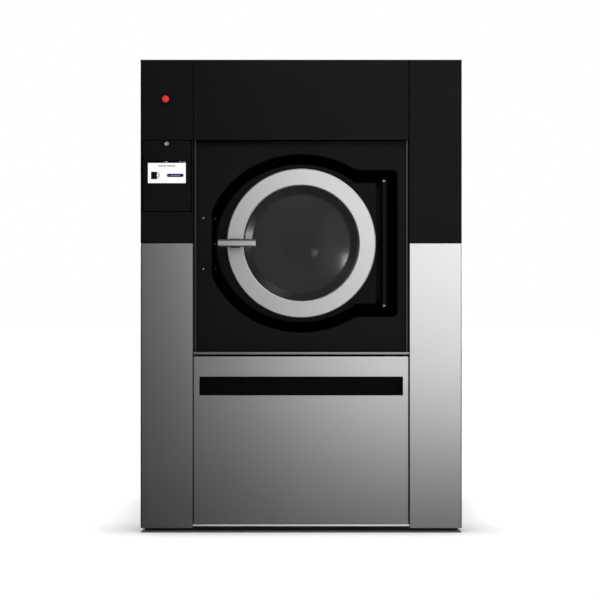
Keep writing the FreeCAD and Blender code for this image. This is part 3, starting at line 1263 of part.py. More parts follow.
def drain_valve():
    """Valve body under the drain hose on a pedestal, its actuator, and the pipe that leaves at the rear."""
    y = FACE + STATION_DRAIN
    outer = DRAIN_BORE + DRAIN_WALL
    end = REAR + STUB_LENGTH
    pieces = [rod(outer + DRAIN_WALL, V(0, y, DRAIN_PIPE_Z), Z, DRAIN_TOP - DRAIN_PIPE_Z)]
    pieces.append(rod(outer, V(0, y - outer - DRAIN_WALL, DRAIN_PIPE_Z), Y, end - y + outer + DRAIN_WALL))
    pieces.append(rod(outer + LIP, V(0, REAR, DRAIN_PIPE_Z), Y, LOCKNUT))
    pieces.append(box(-outer / 2, outer / 2, y - outer / 2, y + outer / 2, BASE_HEIGHT, DRAIN_PIPE_Z))
    pieces.append(box(0, outer * 2.6, y - outer * 0.8, y + outer * 0.8, DRAIN_TOP - outer * 3,
                      DRAIN_TOP - outer))
    whole = join(pieces)
    whole = whole.cut(rod(DRAIN_BORE, V(0, y, DRAIN_PIPE_Z), Z, DRAIN_TOP - DRAIN_PIPE_Z))
    return whole.cut(rod(DRAIN_BORE - DRAIN_WALL, V(0, y, DRAIN_PIPE_Z), Y, end - y))


# Electrical box against the left side panel, open towards that panel

def electrical_box():
    left = -SIDE + SHEET
    case = box(left, left + CONTROL_WIDTH, FACE + CONTROL_SET, FACE + CONTROL_SET + CONTROL_LENGTH,
               CONTROL_BOTTOM, CONTROL_BOTTOM + CONTROL_HEIGHT)
    return case.cut(box(left, left + CONTROL_WIDTH - SHEET, FACE + CONTROL_SET + SHEET,
                        FACE + CONTROL_SET + CONTROL_LENGTH - SHEET,
                        CONTROL_BOTTOM + SHEET, CONTROL_BOTTOM + CONTROL_HEIGHT - SHEET))


# Emergency-stop button

def estop_body():
    """Bezel, threaded barrel, locknut and contact block, bored for the stem."""
    pieces = [rod(STOP_BARREL, V(STOP_X, FACE - STOP_BEZEL, STOP_Z), Y, STOP_DEPTH + STOP_BEZEL)]
    pieces.append(rod(STOP_RADIUS - FIT, V(STOP_X, FACE - STOP_BEZEL, STOP_Z), Y, STOP_BEZEL))
    pieces.append(rod(STOP_RADIUS * 1.25, V(STOP_X, FACE + SHEET, STOP_Z), Y, STOP_BEZEL * 2))
    half = STOP_RADIUS * 1.2
    pieces.append(box(STOP_X - half, STOP_X + half, FACE + STOP_DEPTH, FACE + STOP_DEPTH * 2, STOP_Z - half,
                      STOP_Z + half))
    return join(pieces).cut(rod(STOP_STEM + RUN, V(STOP_X, FACE - STOP_BEZEL, STOP_Z), Y,
                                STOP_DEPTH + STOP_BEZEL))


def estop_button():
    """Mushroom head with a dished rim on a sliding stem."""
    back = FACE - STOP_BEZEL - STOP_TRAVEL - SEAM / 2
    tail = FACE + STOP_DEPTH - STOP_TRAVEL - SEAM / 2
    front = back - STOP_HEAD
    profile = [(0, tail), (STOP_STEM, tail), (STOP_STEM, back), (STOP_RADIUS * 0.8, back)]
    profile += [(STOP_RADIUS, back - STOP_HEAD * 0.3), (STOP_RADIUS, back - STOP_HEAD * 0.7)]
    profile += [(STOP_RADIUS * 0.88, back - STOP_HEAD * 0.92), (STOP_RADIUS * 0.6, front), (0, front)]
    return turned(profile, STOP_X, STOP_Z)


# Control hatch on its lower hinge, with the display and the key lock

def control_hatch():
    """Formed lid with a window for the display, a boss for the lock and two knuckles on the hinge pin."""
    right = HATCH_LEFT + HATCH_WIDTH
    lid = front_tray(HATCH_LEFT, right, FACE, HATCH_DEPTH, HATCH_BOTTOM, HATCH_BOTTOM + HATCH_HEIGHT)
    lid = lid.cut(screen_block(FIT, FACE, FACE + SHEET))
    solids = [lid, rod(KEY_RADIUS, V(KEY_X, FACE - SHEET, KEY_Z), Y, HATCH_DEPTH)]
    for x in (HATCH_LEFT, right - HATCH_KNUCKLE_LENGTH):
        start = V(x, HATCH_PIN_Y, HATCH_PIN_Z)
        solids.append(rod(HATCH_PIN + HATCH_KNUCKLE, start, X, HATCH_KNUCKLE_LENGTH))
        solids.append(box(x, x + HATCH_KNUCKLE_LENGTH, FACE + SHEET, HATCH_PIN_Y, HATCH_BOTTOM, HATCH_PIN_Z))
    lid = join(solids)
    lid = lid.cut(rod(HATCH_PIN + RUN, V(HATCH_LEFT, HATCH_PIN_Y, HATCH_PIN_Z), X, HATCH_WIDTH))
    return lid.cut(rod(KEY_CORE + RUN, V(KEY_X, FACE - SHEET, KEY_Z), Y, HATCH_DEPTH))


def hatch_hinge():
    """Hinge pin across the column, held in a block against each of its returns."""
    left = -SIDE + SHEET + FIT
    right = -COLUMN_INNER - SHEET - FIT
    low = V(left, HATCH_PIN_Y, HATCH_PIN_Z)
    y0 = HATCH_PIN_Y - HATCH_PIN - 1
    half = HATCH_PIN * 2.5
    solids = [rod(HATCH_PIN, low, X, right - left)]
    edges = [(left, HATCH_LEFT - SEAM), (HATCH_LEFT + HATCH_WIDTH + SEAM, right)]
    for x0, x1 in edges:
        solids.append(box(x0, x1, y0, y0 + half * 1.5, HATCH_PIN_Z - half, HATCH_PIN_Z + half))
    return join(solids)


def screen_block(grow, y0, y1):
    half = SCREEN_WIDTH / 2 + grow
    rise = SCREEN_HEIGHT / 2 + grow
    block = box(SCREEN_X - half, SCREEN_X + half, y0, y1, SCREEN_Z - rise, SCREEN_Z + rise)
    return block.makeFillet(SCREEN_CORNER + grow, edges_along(block, Y, lambda p: True))


def display_glass():
    return screen_block(0, FACE - SCREEN_PROUD, FACE + SCREEN_THICK - SCREEN_PROUD)


def display_housing():
    """Case behind the glass, with cooling slots in its back."""
    y0 = FACE + SCREEN_THICK - SCREEN_PROUD
    case = screen_block(SCREEN_CASE, y0, y0 + SCREEN_CASE_DEPTH)
    for step in range(SCREEN_SLOTS):
        x = SCREEN_X + (step - (SCREEN_SLOTS - 1) / 2) * SCREEN_WIDTH / (SCREEN_SLOTS + 1)
        case = case.cut(box(x - SHEET, x + SHEET, y0 + SCREEN_CASE_DEPTH * 0.8, y0 + SCREEN_CASE_DEPTH,
                            SCREEN_Z - SCREEN_HEIGHT * 0.35, SCREEN_Z + SCREEN_HEIGHT * 0.35))
    return case


def hatch_lock():
    """Key core with its slot, and the cam behind it; the cam lies level while the hatch is free."""
    y1 = FACE + HATCH_DEPTH + SEAM / 2
    core = rod(KEY_CORE, V(KEY_X, FACE - SHEET - SEAM / 2, KEY_Z), Y, y1 - FACE + SHEET + SEAM / 2)
    core = core.cut(box(KEY_X - SHEET / 2, KEY_X + SHEET / 2, FACE - SHEET * 2, FACE + SHEET,
                        KEY_Z - KEY_CORE * 0.7, KEY_Z + KEY_CORE * 0.7))
    cam = box(KEY_X - KEY_CAM, KEY_X + KEY_CORE, y1 - SEAM / 4, y1 + SHEET, KEY_Z - KEY_CORE,
              KEY_Z + KEY_CORE)
    return join([core, cam])


# Screws that hold the panels

def panel_screws():
    heads = []
    for side in (-1, 1):
        heads.append(hexagon(SMALL_HEAD, PANEL_SCREW_X, PANEL_Y, DRUM_Z + side * PANEL_SCREW_Z, -SCREW_RISE))
    edge = SERVICE_HALF + SERVICE_LAP / 2
    for side in (-1, 1):
        for step in range(SERVICE_SCREWS):
            z = SERVICE_BOTTOM + (SERVICE_TOP - SERVICE_BOTTOM) / (SERVICE_SCREWS - 1) * step
            heads.append(hexagon(SCREW_HEAD, side * edge, REAR + SHEET, z, SCREW_RISE))
    return heads


save("tub_shell", tub_shell())
save("tub_front", tub_front())
save("mouth_seal", mouth_seal())
save("tub_cradle", tub_cradle())
save("drum_shell", drum_shell())
save("drum_lifters", drum_lifters())
save("drum_spider", drum_spider())
save("bearing_housing", bearing_housing())
save("drum_bearings", drum_bearings())
save("shaft_seal", shaft_seal())
save("drum_pulley", drum_pulley())
save("motor_pulley", motor_pulley())
save("drive_belt", drive_belt())
save("motor", motor())
save("motor_mount", motor_mount())
save("air_springs", at_springs(air_spring, CRADLE_X))
save("damper_cylinders", at_springs(damper_cylinder, DAMPER_X))
save("damper_rods", at_springs(damper_rod, DAMPER_X))
save("upper_hoses", upper_hoses())
save("drain_hose", drain_hose())
save("vent_outlet", vent_outlet())
save("water_inlet", water_inlet())
save("drain_valve", drain_valve())
save("electrical_box", electrical_box())
save("estop_body", estop_body())
save("estop_button", estop_button())
save("control_hatch", control_hatch())
save("hatch_hinge", hatch_hinge())
save("display_glass", display_glass())
save("display_housing", display_housing())
save("hatch_lock", hatch_lock())
save("panel_screws", panel_screws())
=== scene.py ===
import math
import bmesh
import bpy
from mathutils import Matrix, Vector


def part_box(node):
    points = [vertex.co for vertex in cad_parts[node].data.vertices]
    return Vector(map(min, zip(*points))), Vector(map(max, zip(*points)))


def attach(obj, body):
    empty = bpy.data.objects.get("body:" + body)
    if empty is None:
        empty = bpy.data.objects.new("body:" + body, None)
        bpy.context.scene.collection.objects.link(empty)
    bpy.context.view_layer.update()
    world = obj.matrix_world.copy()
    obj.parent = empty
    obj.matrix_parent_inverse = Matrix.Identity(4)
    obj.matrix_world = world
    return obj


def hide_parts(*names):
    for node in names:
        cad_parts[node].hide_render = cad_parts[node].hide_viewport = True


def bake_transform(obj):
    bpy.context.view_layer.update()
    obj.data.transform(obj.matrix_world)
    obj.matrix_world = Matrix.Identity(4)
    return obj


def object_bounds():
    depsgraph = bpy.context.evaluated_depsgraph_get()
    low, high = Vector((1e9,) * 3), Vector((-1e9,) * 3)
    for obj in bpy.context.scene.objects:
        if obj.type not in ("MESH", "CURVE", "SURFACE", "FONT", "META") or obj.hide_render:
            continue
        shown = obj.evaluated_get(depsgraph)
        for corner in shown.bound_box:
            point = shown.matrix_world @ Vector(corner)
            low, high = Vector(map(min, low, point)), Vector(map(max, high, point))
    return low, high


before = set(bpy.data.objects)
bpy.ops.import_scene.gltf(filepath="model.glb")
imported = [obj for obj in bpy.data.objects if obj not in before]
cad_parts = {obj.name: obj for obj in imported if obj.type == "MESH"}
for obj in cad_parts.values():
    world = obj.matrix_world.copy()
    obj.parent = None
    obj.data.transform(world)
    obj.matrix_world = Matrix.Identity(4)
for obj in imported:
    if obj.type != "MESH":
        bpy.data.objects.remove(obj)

cad_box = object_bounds()


# Floor frame and upright frame: rolled channel and square tube, welded together and sprayed with dark
# grey enamel. They stand on the slab and carry every panel and the four air springs.
def linear(colour):
    """An sRGB hex colour as linear red, green, blue and alpha."""
    parts = [int(colour[place:place + 2], 16) / 255 for place in (1, 3, 5)]
    return [c / 12.92 if c <= 0.04045 else ((c + 0.055) / 1.055) ** 2.4 for c in parts] + [1.0]


def add(tree, kind, links=(), values=(), onto=None, ramp=(), **settings):
    """Adds a node with its settings, links its inputs and, where asked, feeds the shader with it."""
    node = tree.nodes.new("ShaderNode" + kind)
    for name, value in settings.items():
        setattr(node, name, value)
    for name, value in dict(values).items():
        node.inputs[name].default_value = value
    for name, source in dict(links).items():
        socket = source if isinstance(source, bpy.types.NodeSocket) else source.outputs[0]
        tree.links.new(socket, node.inputs[name])
    for place, (position, colour) in enumerate(ramp):
        marks = node.color_ramp.elements
        mark = marks[place] if place < len(marks) else marks.new(position)
        mark.position, mark.color = position, linear(colour)
    if onto:
        tree.links.new(node.outputs[0], tree.nodes["Principled BSDF"].inputs[onto])
    return node


def finish(name, colour, metallic, roughness, **more):
    """A new material with its plain values set; gives it, its node tree and the place of a surface point."""
    material = bpy.data.materials.new(name)
    material.use_nodes = True
    tree = material.node_tree
    plain = {"Base Color": linear(colour), "Metallic": metallic, "Roughness": roughness}
    plain.update({key.replace("_", " "): value for key, value in more.items()})
    for place, value in plain.items():
        tree.nodes["Principled BSDF"].inputs[place].default_value = value
    return material, tree, add(tree, "TexCoord").outputs["Object"]


def dress(material, *nodes, edge=0.0):
    """Gives CAD nodes a material, and where asked a rounded edge that catches the light."""
    for name in nodes:
        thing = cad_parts[name]
        thing.data.materials.clear()
        thing.data.materials.append(material)
        if edge:
            bevel = thing.modifiers.new("edge", "BEVEL")
            bevel.width = edge
            bevel.segments = 2
            bevel.limit_method = "ANGLE"
            bevel.angle_limit = math.radians(40)
            bevel.use_clamp_overlap = True


# Sprayed enamel: an even dark grey with a faint orange peel about 4 mm across.
frame_enamel, tree, where = finish("sprayed_enamel_dark_grey", "#3b3e41", 0.0, 0.48)
peel = add(tree, "TexNoise", {"Vector": where}, {"Scale": 250.0, "Detail": 2.0})
cloud = add(tree, "TexNoise", {"Vector": where}, {"Scale": 6.0, "Detail": 4.0})
add(tree, "ValToRGB", {"Fac": cloud}, onto="Base Color", ramp=[(0.3, "#34373a"), (0.7, "#44474a")])
add(tree, "MapRange", {"Value": cloud}, {"To Min": 0.4, "To Max": 0.58}, onto="Roughness")
add(tree, "Bump", {"Height": peel}, {"Strength": 0.4, "Distance": 0.00015}, onto="Normal")
dress(frame_enamel, "base_frame", "cabinet_frame", "tub_cradle", "motor_mount", "damper_cylinders",
      edge=0.001)


# Air springs and hoses: moulded black rubber with fabric inside. The tub floats on four double bellows,
# and ribbed hoses take up its travel at the drain below and at the two pipes above.
def lathe(mesh, profile, centre, axis, steps=48):
    """Turns (radius, along) points round an axis through the centre."""
    turn = Vector(axis).to_track_quat("Z", "Y").to_matrix()
    rings = []
    for radius, along in profile:
        angles = [2 * math.pi * step / steps for step in range(steps if radius else 1)]
        spots = [turn @ Vector((radius * math.cos(a), radius * math.sin(a), along)) for a in angles]
        rings.append([mesh.verts.new(Vector(centre) + spot) for spot in spots])
    for first, second in zip(rings, rings[1:]):
        for step in range(steps):
            after = (step + 1) % steps
            around = [first[step % len(first)], first[after % len(first)],
                      second[after % len(second)], second[step % len(second)]]
            mesh.faces.new(list(dict.fromkeys(around)))


def block(mesh, low, high, edge):
    """A box between two corners with rounded edges."""
    low, high = Vector(low), Vector(high)
    size = Matrix.Diagonal((high - low).to_4d())
    made = bmesh.ops.create_cube(mesh, matrix=Matrix.Translation((low + high) / 2) @ size)
    edges = list({line for vert in made["verts"] for line in vert.link_edges})
    bmesh.ops.bevel(mesh, geom=edges, offset=edge, segments=3, profile=0.5, affect="EDGES")


def piece(name, mesh, material, body, slot, *nodes):
    """Makes an object of a mesh; it rides on a body, if one is named, and may stand for CAD nodes."""
    bmesh.ops.remove_doubles(mesh, verts=mesh.verts, dist=1e-7)
    bmesh.ops.recalc_face_normals(mesh, faces=mesh.faces)
    for face in mesh.faces:
        face.smooth = True
    for line in mesh.edges:
        line.smooth = line.calc_face_angle(0) < math.radians(32)
    data = bpy.data.meshes.new(name)
    mesh.to_mesh(data)
    mesh.free()
    data.materials.append(material)
    thing = bpy.data.objects.new(name, data)
    bpy.context.scene.collection.objects.link(thing)
    if body:
        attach(thing, body)
    if nodes:
        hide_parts(*nodes)
    return thing


# Cured rubber: charcoal and dull, with a bloom of pale dust in patches.
rubber, tree, where = finish("moulded_rubber_black", "#151516", 0.0, 0.68)
bloom = add(tree, "TexNoise", {"Vector": where}, {"Scale": 14.0, "Detail": 6.0, "Roughness": 0.6})
grain = add(tree, "TexNoise", {"Vector": where}, {"Scale": 900.0, "Detail": 2.0})
add(tree, "ValToRGB", {"Fac": bloom}, onto="Base Color", ramp=[(0.35, "#111112"), (0.75, "#242425")])
add(tree, "MapRange", {"Value": bloom}, {"To Min": 0.58, "To Max": 0.8}, onto="Roughness")
add(tree, "Bump", {"Height": grain}, {"Strength": 0.5, "Distance": 0.0001}, onto="Normal")
dress(rubber, "mouth_seal", "shaft_seal", "glass_gasket", "drive_belt")

spring_low, spring_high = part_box("air_springs")
spring_radius = 0.075
spring_waist = 0.057
spring_rise = spring_high[2] - spring_low[2]
half_wave = [(spring_waist + (spring_radius - spring_waist) * math.sin(math.pi * step / 12), step / 12)
             for step in range(13)]
bellows = [(0, 0)] + [(radius, spring_rise * (0.01 + 0.47 * part)) for radius, part in half_wave]
bellows += [(radius, spring_rise * (0.52 + 0.47 * part)) for radius, part in half_wave] + [(0, spring_rise)]
springs = bmesh.new()
for x in (spring_low[0] + spring_radius, spring_high[0] - spring_radius):
    for y in (spring_low[1] + spring_radius, spring_high[1] - spring_radius):
        lathe(springs, bellows, (x, y, spring_low[2]), (0, 0, 1), 64)
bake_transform(piece("spring_bellows", springs, rubber, None, "rubber", "air_springs"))


def ribbed(mesh, node, bore, wall, crest, ribs):
    """Upright hoses in the place of a CAD node: plain ends, round ribs between them and a straight bore."""
    low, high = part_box(node)
    pitch = (high[2] - low[2]) / (ribs + 1)
    waves = [(1 - math.cos(2 * math.pi * step / 10)) / 2 for step in range(10 * ribs + 1)]
    outside = [(bore + wall + (crest - wall) * wave, pitch * (0.5 + step / 10))
               for step, wave in enumerate(waves)]
    top = high[2] - low[2]
    profile = [(bore, 0), (bore + wall, 0)] + outside + [(bore + wall, top), (bore, top), (bore, 0)]
    for x in sorted({low[0] + bore + crest, high[0] - bore - crest}):
        lathe(mesh, profile, (x, (low[1] + high[1]) / 2, low[2]), (0, 0, 1), 64)
    return low, high


hose = bmesh.new()
hose_low, hose_high = ribbed(hose, "drain_hose", 0.038, 0.004, 0.01, 5)
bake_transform(piece("drain_bellows", hose, rubber, None, "rubber", "drain_hose"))
hose = bmesh.new()
hose_low, hose_high = ribbed(hose, "upper_hoses", 0.036, 0.003, 0.0075, 3)
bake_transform(piece("pipe_bellows", hose, rubber, None, "rubber", "upper_hoses"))


# Tub: rolled stainless sheet with welded hoops and a back wall. Its thick front plate carries the hinge,
# the lock and the seal of the door.
# Pickled stainless: dull grey steel with cloudy pale patches left by the acid.
pickled, tree, where = finish("pickled_stainless", "#8d8f91", 1.0, 0.5)
cloud = add(tree, "TexNoise", {"Vector": where}, {"Scale": 9.0, "Detail": 8.0, "Roughness": 0.65})
add(tree, "ValToRGB", {"Fac": cloud}, onto="Base Color", ramp=[(0.3, "#77797b"), (0.7, "#a2a4a6")])
add(tree, "MapRange", {"Value": cloud}, {"To Min": 0.4, "To Max": 0.62}, onto="Roughness")
dress(pickled, "tub_shell")

# Baked epoxy: a dead black with a fine speckle and no shine; this near-black is painted shade, so that the
# gap around the door stays dark.
epoxy, tree, where = finish("baked_epoxy_black_gap_shade", "#040404", 0.0, 0.95, Specular_IOR_Level=0.0)
speck = add(tree, "TexNoise", {"Vector": where}, {"Scale": 400.0, "Detail": 3.0})
add(tree, "ValToRGB", {"Fac": speck}, onto="Base Color", ramp=[(0.35, "#020202"), (0.7, "#060606")])
add(tree, "Bump", {"Height": speck}, {"Strength": 0.3, "Distance": 0.0001}, onto="Normal")
dress(epoxy, "tub_front", "lock_plate", "hinge_brackets")


# Bearing housing, spider, pulleys and lock housing: sand-cast iron, machined where they run. All but the
# lock housing sit behind the tub or the drum.
# Cast iron: grey-brown with a pebbled skin about 2 mm across.
cast_iron, tree, where = finish("sand_cast_iron", "#4a4a4b", 0.9, 0.58)
pebble = add(tree, "TexVoronoi", {"Vector": where}, {"Scale": 420.0})
cloud = add(tree, "TexNoise", {"Vector": where}, {"Scale": 20.0, "Detail": 5.0})
add(tree, "ValToRGB", {"Fac": cloud}, onto="Base Color", ramp=[(0.3, "#3d3c3b"), (0.7, "#565656")])
add(tree, "Bump", {"Height": pebble}, {"Strength": 0.5, "Distance": 0.0003}, onto="Normal")
dress(cast_iron, "bearing_housing", "drum_spider", "drum_pulley", "motor_pulley", "lock_housing")


# Drive motor: finned aluminium housing under blue-grey paint, bolted to its mount below the tub.
# Motor enamel: half gloss, duller in dusty patches.
motor_paint, tree, where = finish("motor_enamel_blue_grey", "#4a545d", 0.0, 0.42)
dust = add(tree, "TexNoise", {"Vector": where}, {"Scale": 18.0, "Detail": 6.0})
add(tree, "ValToRGB", {"Fac": dust}, onto="Base Color", ramp=[(0.35, "#434c54"), (0.7, "#5a646c")])
add(tree, "MapRange", {"Value": dust}, {"To Min": 0.34, "To Max": 0.55}, onto="Roughness")
dress(motor_paint, "motor")


# Bearings, damper rods and lock bolt: steel turned on a lathe, pressed into its seat or sliding in it.
# Turned steel: bright, with fine rings from the tool.
turned, tree, where = finish("turned_steel", "#c9cacc", 1.0, 0.24)
rings = add(tree, "TexWave", {"Vector": where}, {"Scale": 160.0, "Distortion": 0.6, "Detail": 1.0},
            bands_direction="Z")
add(tree, "MapRange", {"Value": rings}, {"To Min": 0.18, "To Max": 0.32}, onto="Roughness")
dress(turned, "drum_bearings", "damper_rods", "lock_bolt")


# Drum: a cylinder of perforated stainless sheet with three folded lifters, a plain back and a pressed
# hub cap held by six bolts, seen through the door.
drum_low, drum_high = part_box("drum_shell")
drum_z = (drum_low[2] + drum_high[2]) / 2
drum_radius = (drum_high[0] - drum_low[0]) / 2
back_sheet = 0.008

# Perforated sheet: 5 mm holes in staggered rows 14 mm apart, painted dark where the water goes through: the
# holes are painted shade, dark dots in the colour.
perforated, tree, where = finish("perforated_stainless", "#b5b6b8", 1.0, 0.3)
flat = add(tree, "SeparateXYZ", {"Vector": where})
up = add(tree, "Math", {0: flat.outputs["Z"]}, {1: drum_z}, operation="SUBTRACT")
angle = add(tree, "Math", {0: up, 1: flat.outputs["X"]}, operation="ARCTAN2")
arc = add(tree, "Math", {0: angle}, {1: drum_radius / 0.016}, operation="MULTIPLY")
row = add(tree, "Math", {0: flat.outputs["Y"]}, {1: 1 / 0.014}, operation="MULTIPLY")
count = add(tree, "Math", {0: row}, operation="FLOOR")
odd = add(tree, "Math", {0: count}, {1: 2.0}, operation="FLOORED_MODULO")
shifted = add(tree, "Math", {0: odd, 2: arc}, {1: 0.5}, operation="MULTIPLY_ADD")
around = add(tree, "Math", {0: shifted}, operation="FRACT")
deep = add(tree, "Math", {0: row}, operation="FRACT")
spot = add(tree, "CombineXYZ", {0: around, 1: deep})
reach = add(tree, "VectorMath", {0: spot}, {1: (0.5, 0.5, 0.0)}, operation="DISTANCE")
level = add(tree, "CombineXYZ", {0: flat.outputs["X"], 2: up})
out = add(tree, "VectorMath", {0: level}, operation="LENGTH")
wall = add(tree, "Math", {0: out.outputs["Value"]}, {1: drum_radius - 0.006}, operation="GREATER_THAN")
ring = add(tree, "MapRange", {"Value": reach.outputs["Value"]},
           {"From Min": 0.15, "From Max": 0.19, "To Min": 1.0, "To Max": 0.0})
hole = add(tree, "Math", {0: ring, 1: wall}, operation="MULTIPLY")
add(tree, "ValToRGB", {"Fac": hole}, onto="Base Color", ramp=[(0.0, "#b5b6b8"), (1.0, "#0a0a0a")])
add(tree, "MapRange", {"Value": hole}, {"To Min": 0.3, "To Max": 0.9}, onto="Roughness")
dress(perforated, "drum_shell")

# Pressed stainless: rolled sheet with a soft sheen and long light scuffs.
pressed, tree, where = finish("rolled_stainless", "#b9babc", 1.0, 0.3)
along = add(tree, "Mapping", {"Vector": where}, {"Scale": (4, 60, 60)})
scuff = add(tree, "TexNoise", {"Vector": along}, {"Scale": 6.0, "Detail": 6.0})
add(tree, "MapRange", {"Value": scuff}, {"To Min": 0.22, "To Max": 0.4}, onto="Roughness")
dress(pressed, "drum_lifters")

cap_place = (0, drum_high[1] - back_sheet, drum_z)
cap_round, cap_dish, cap_rise, cap_flange = 0.17, 0.075, 0.024, 0.096
bolt_circle, flange_thick = 0.086, 0.005
bolt_head = [(0.0065, 0), (0.0065, 0.0015), (0.0055, 0.002), (0.005, 0.005), (0.0035, 0.006), (0, 0.006)]
cap_outs = [cap_dish * (1 - step / 12) for step in range(13)]
cap_dome = [(out, cap_rise - cap_round + math.sqrt(cap_round ** 2 - out ** 2)) for out in cap_outs]
cap = bmesh.new()
lathe(cap, [(cap_flange, 0), (cap_flange, 0.003), (0.094, flange_thick), (0.078, flange_thick)] + cap_dome,
      cap_place, (0, -1, 0), 64)
for step in range(6):
    turn = math.radians(60 * step + 30)
    spot = (bolt_circle * math.cos(turn), drum_high[1] - back_sheet - flange_thick,
            drum_z + bolt_circle * math.sin(turn))
    lathe(cap, bolt_head, spot, (0, -1, 0), 16)
piece("drum_hub_cap", cap, pressed, "drum", "bright_steel")


# Upper cladding: folded sheet steel under black powder coat. A flange of each column lies against its
# front post, and the seams between the sheets show as thin dark lines.
# Powder coat: deep satin black with a fine pebble, drawn 3 mm wide so that it shows.
def powder_coat(name, tone, roughness, gloss, dark=None):
    """Baked powder: a tone, cloudy where a darker one is named, and a pebble that breaks up its shine."""
    coat, tree, where = finish(name, tone, 0.0, roughness, Specular_IOR_Level=gloss)
    pebble = add(tree, "TexNoise", {"Vector": where}, {"Scale": 330.0, "Detail": 2.0})
    if dark:
        cloud = add(tree, "TexNoise", {"Vector": where}, {"Scale": 3.0, "Detail": 3.0})
        add(tree, "ValToRGB", {"Fac": cloud}, onto="Base Color", ramp=[(0.3, dark), (0.7, tone)])
    shine = {"To Min": roughness - 0.07, "To Max": roughness + 0.07}
    add(tree, "MapRange", {"Value": pebble}, shine, onto="Roughness")
    add(tree, "Bump", {"Height": pebble}, {"Strength": 0.3, "Distance": 0.00005}, onto="Normal")
    return coat


def spread(material):
    """The node tree of a finished material, and the x, y and z of a surface point in it."""
    tree = material.node_tree
    return tree, add(tree, "SeparateXYZ", {"Vector": add(tree, "TexCoord").outputs["Object"]})


powder = powder_coat("powder_coat_black", "#121213", 0.5, 0.04, "#0f0f10")
dress(powder, "left_column_upper", "right_column_upper", "header_panel", "control_hatch", edge=0.0006)
# A darker copy of the coat with less shine for the grip channel: painted shade in the slot.
deep_powder = powder_coat("powder_coat_black_shaded", "#111112", 0.5, 0.02, "#0d0d0e")
dress(deep_powder, "grip_channel", edge=0.0006)


# Door panel: one black-coated sheet between the columns, folded back at its outer edge and around the
# hole for the door. The hole is an oval with a square ear at the hinge and a flat at the lock.
panel_low, panel_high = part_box("front_panel")
door_z = drum_z
bay_wide, bay_tall = 0.3913, 0.3634
bay_flat = 0.3645
ear_right, ear_half, ear_corner = 0.3925, 0.299, 0.02
notch_round, notch_rise = 0.012, 0.6
sheet_thick, fold_round = 0.002, 0.0045
inner_round = fold_round - sheet_thick
panel_half = panel_high[0] - 0.001
panel_steps = 720
header_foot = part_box("header_panel")[0][2]
shade_low, shade_high = header_foot - 0.034, header_foot - 0.004

# Panel coat: the black of the cladding, painted deeper in a band below the header as in the photograph: a
# painted shadow of the header.
panel_coat = powder_coat("powder_coat_black_panel", "#121213", 0.5, 0.04)
tree, parts = spread(panel_coat)
below = add(tree, "MapRange", {"Value": parts.outputs["Z"]}, {"From Min": shade_low, "From Max": shade_high})
add(tree, "ValToRGB", {"Fac": below}, onto="Base Color", ramp=[(0.0, "#111112"), (1.0, "#020202")])


def bay_edge(turn):
    """Reach of the hole from its middle: an oval with a square ear at the hinge and a flat at the lock."""
    level, rise = math.cos(turn), math.sin(turn)
    oval = 1 / math.hypot(level / bay_wide, rise / bay_tall)
    if level > 0:
        corner_x, corner_z = ear_right - ear_corner, ear_half - ear_corner
        ear = min(ear_right / level, ear_half / max(abs(rise), 1e-6))
        if ear * level > corner_x and ear * abs(rise) > corner_z:
            middle = corner_x * level + corner_z * abs(rise)
            ear = middle + math.sqrt(max(middle ** 2 - corner_x ** 2 - corner_z ** 2 + ear_corner ** 2, 0))
        near = max(1 - abs(oval - ear) / notch_round, 0) if abs(rise) > notch_rise else 0
        return max(oval, ear) + near * near * notch_round / 4
    return min(oval, bay_flat / max(-level, 1e-6))


def sweep(mesh, loops, closed):
    """Skins a row of like loops of points, joined into a ring or capped at both ends."""
    rows = [[mesh.verts.new(spot) for spot in loop] for loop in loops]
    for first, second in zip(rows, rows[1:] + rows[:1] if closed else rows[1:]):
        for place in range(len(first)):
            after = (place + 1) % len(first)
            mesh.faces.new((first[place], first[after], second[after], second[place]))
    if not closed:
        mesh.faces.new(rows[0])
        mesh.faces.new(rows[-1])


front, back = panel_low[1], panel_high[1]
fold = [(1 - math.sin(math.radians(a)), 1 - math.cos(math.radians(a))) for a in (0, 22.5, 45, 67.5, 90)]
corners = [math.atan2(z - door_z, x) % math.tau
           for x in (-panel_half, panel_half) for z in (panel_low[2], panel_high[2])]
loops = []
for turn in sorted(corners + [math.tau * step / panel_steps for step in range(panel_steps)]):
    level, rise = math.cos(turn), math.sin(turn)
    hole = bay_edge(turn)
    up = panel_high[2] - door_z if rise > 0 else door_z - panel_low[2]
    outer = min(panel_half / max(abs(level), 1e-6), up / max(abs(rise), 1e-6))
    profile = [(outer, back), (outer, front)]
    profile += [(hole + fold_round * out, front + fold_round * deep) for out, deep in fold]
    profile += [(hole, back), (hole + sheet_thick, back)]
    profile += [(hole + sheet_thick + inner_round * out, front + sheet_thick + inner_round * deep)
                for out, deep in fold[::-1]]
    profile += [(outer - sheet_thick, front + sheet_thick), (outer - sheet_thick, back)]
    loops.append([(reach * level, y, door_z + reach * rise) for reach, y in profile])
panel = bmesh.new()
sweep(panel, loops, True)
piece("door_panel", panel, panel_coat, "cabinet", "black_paint", "front_panel")


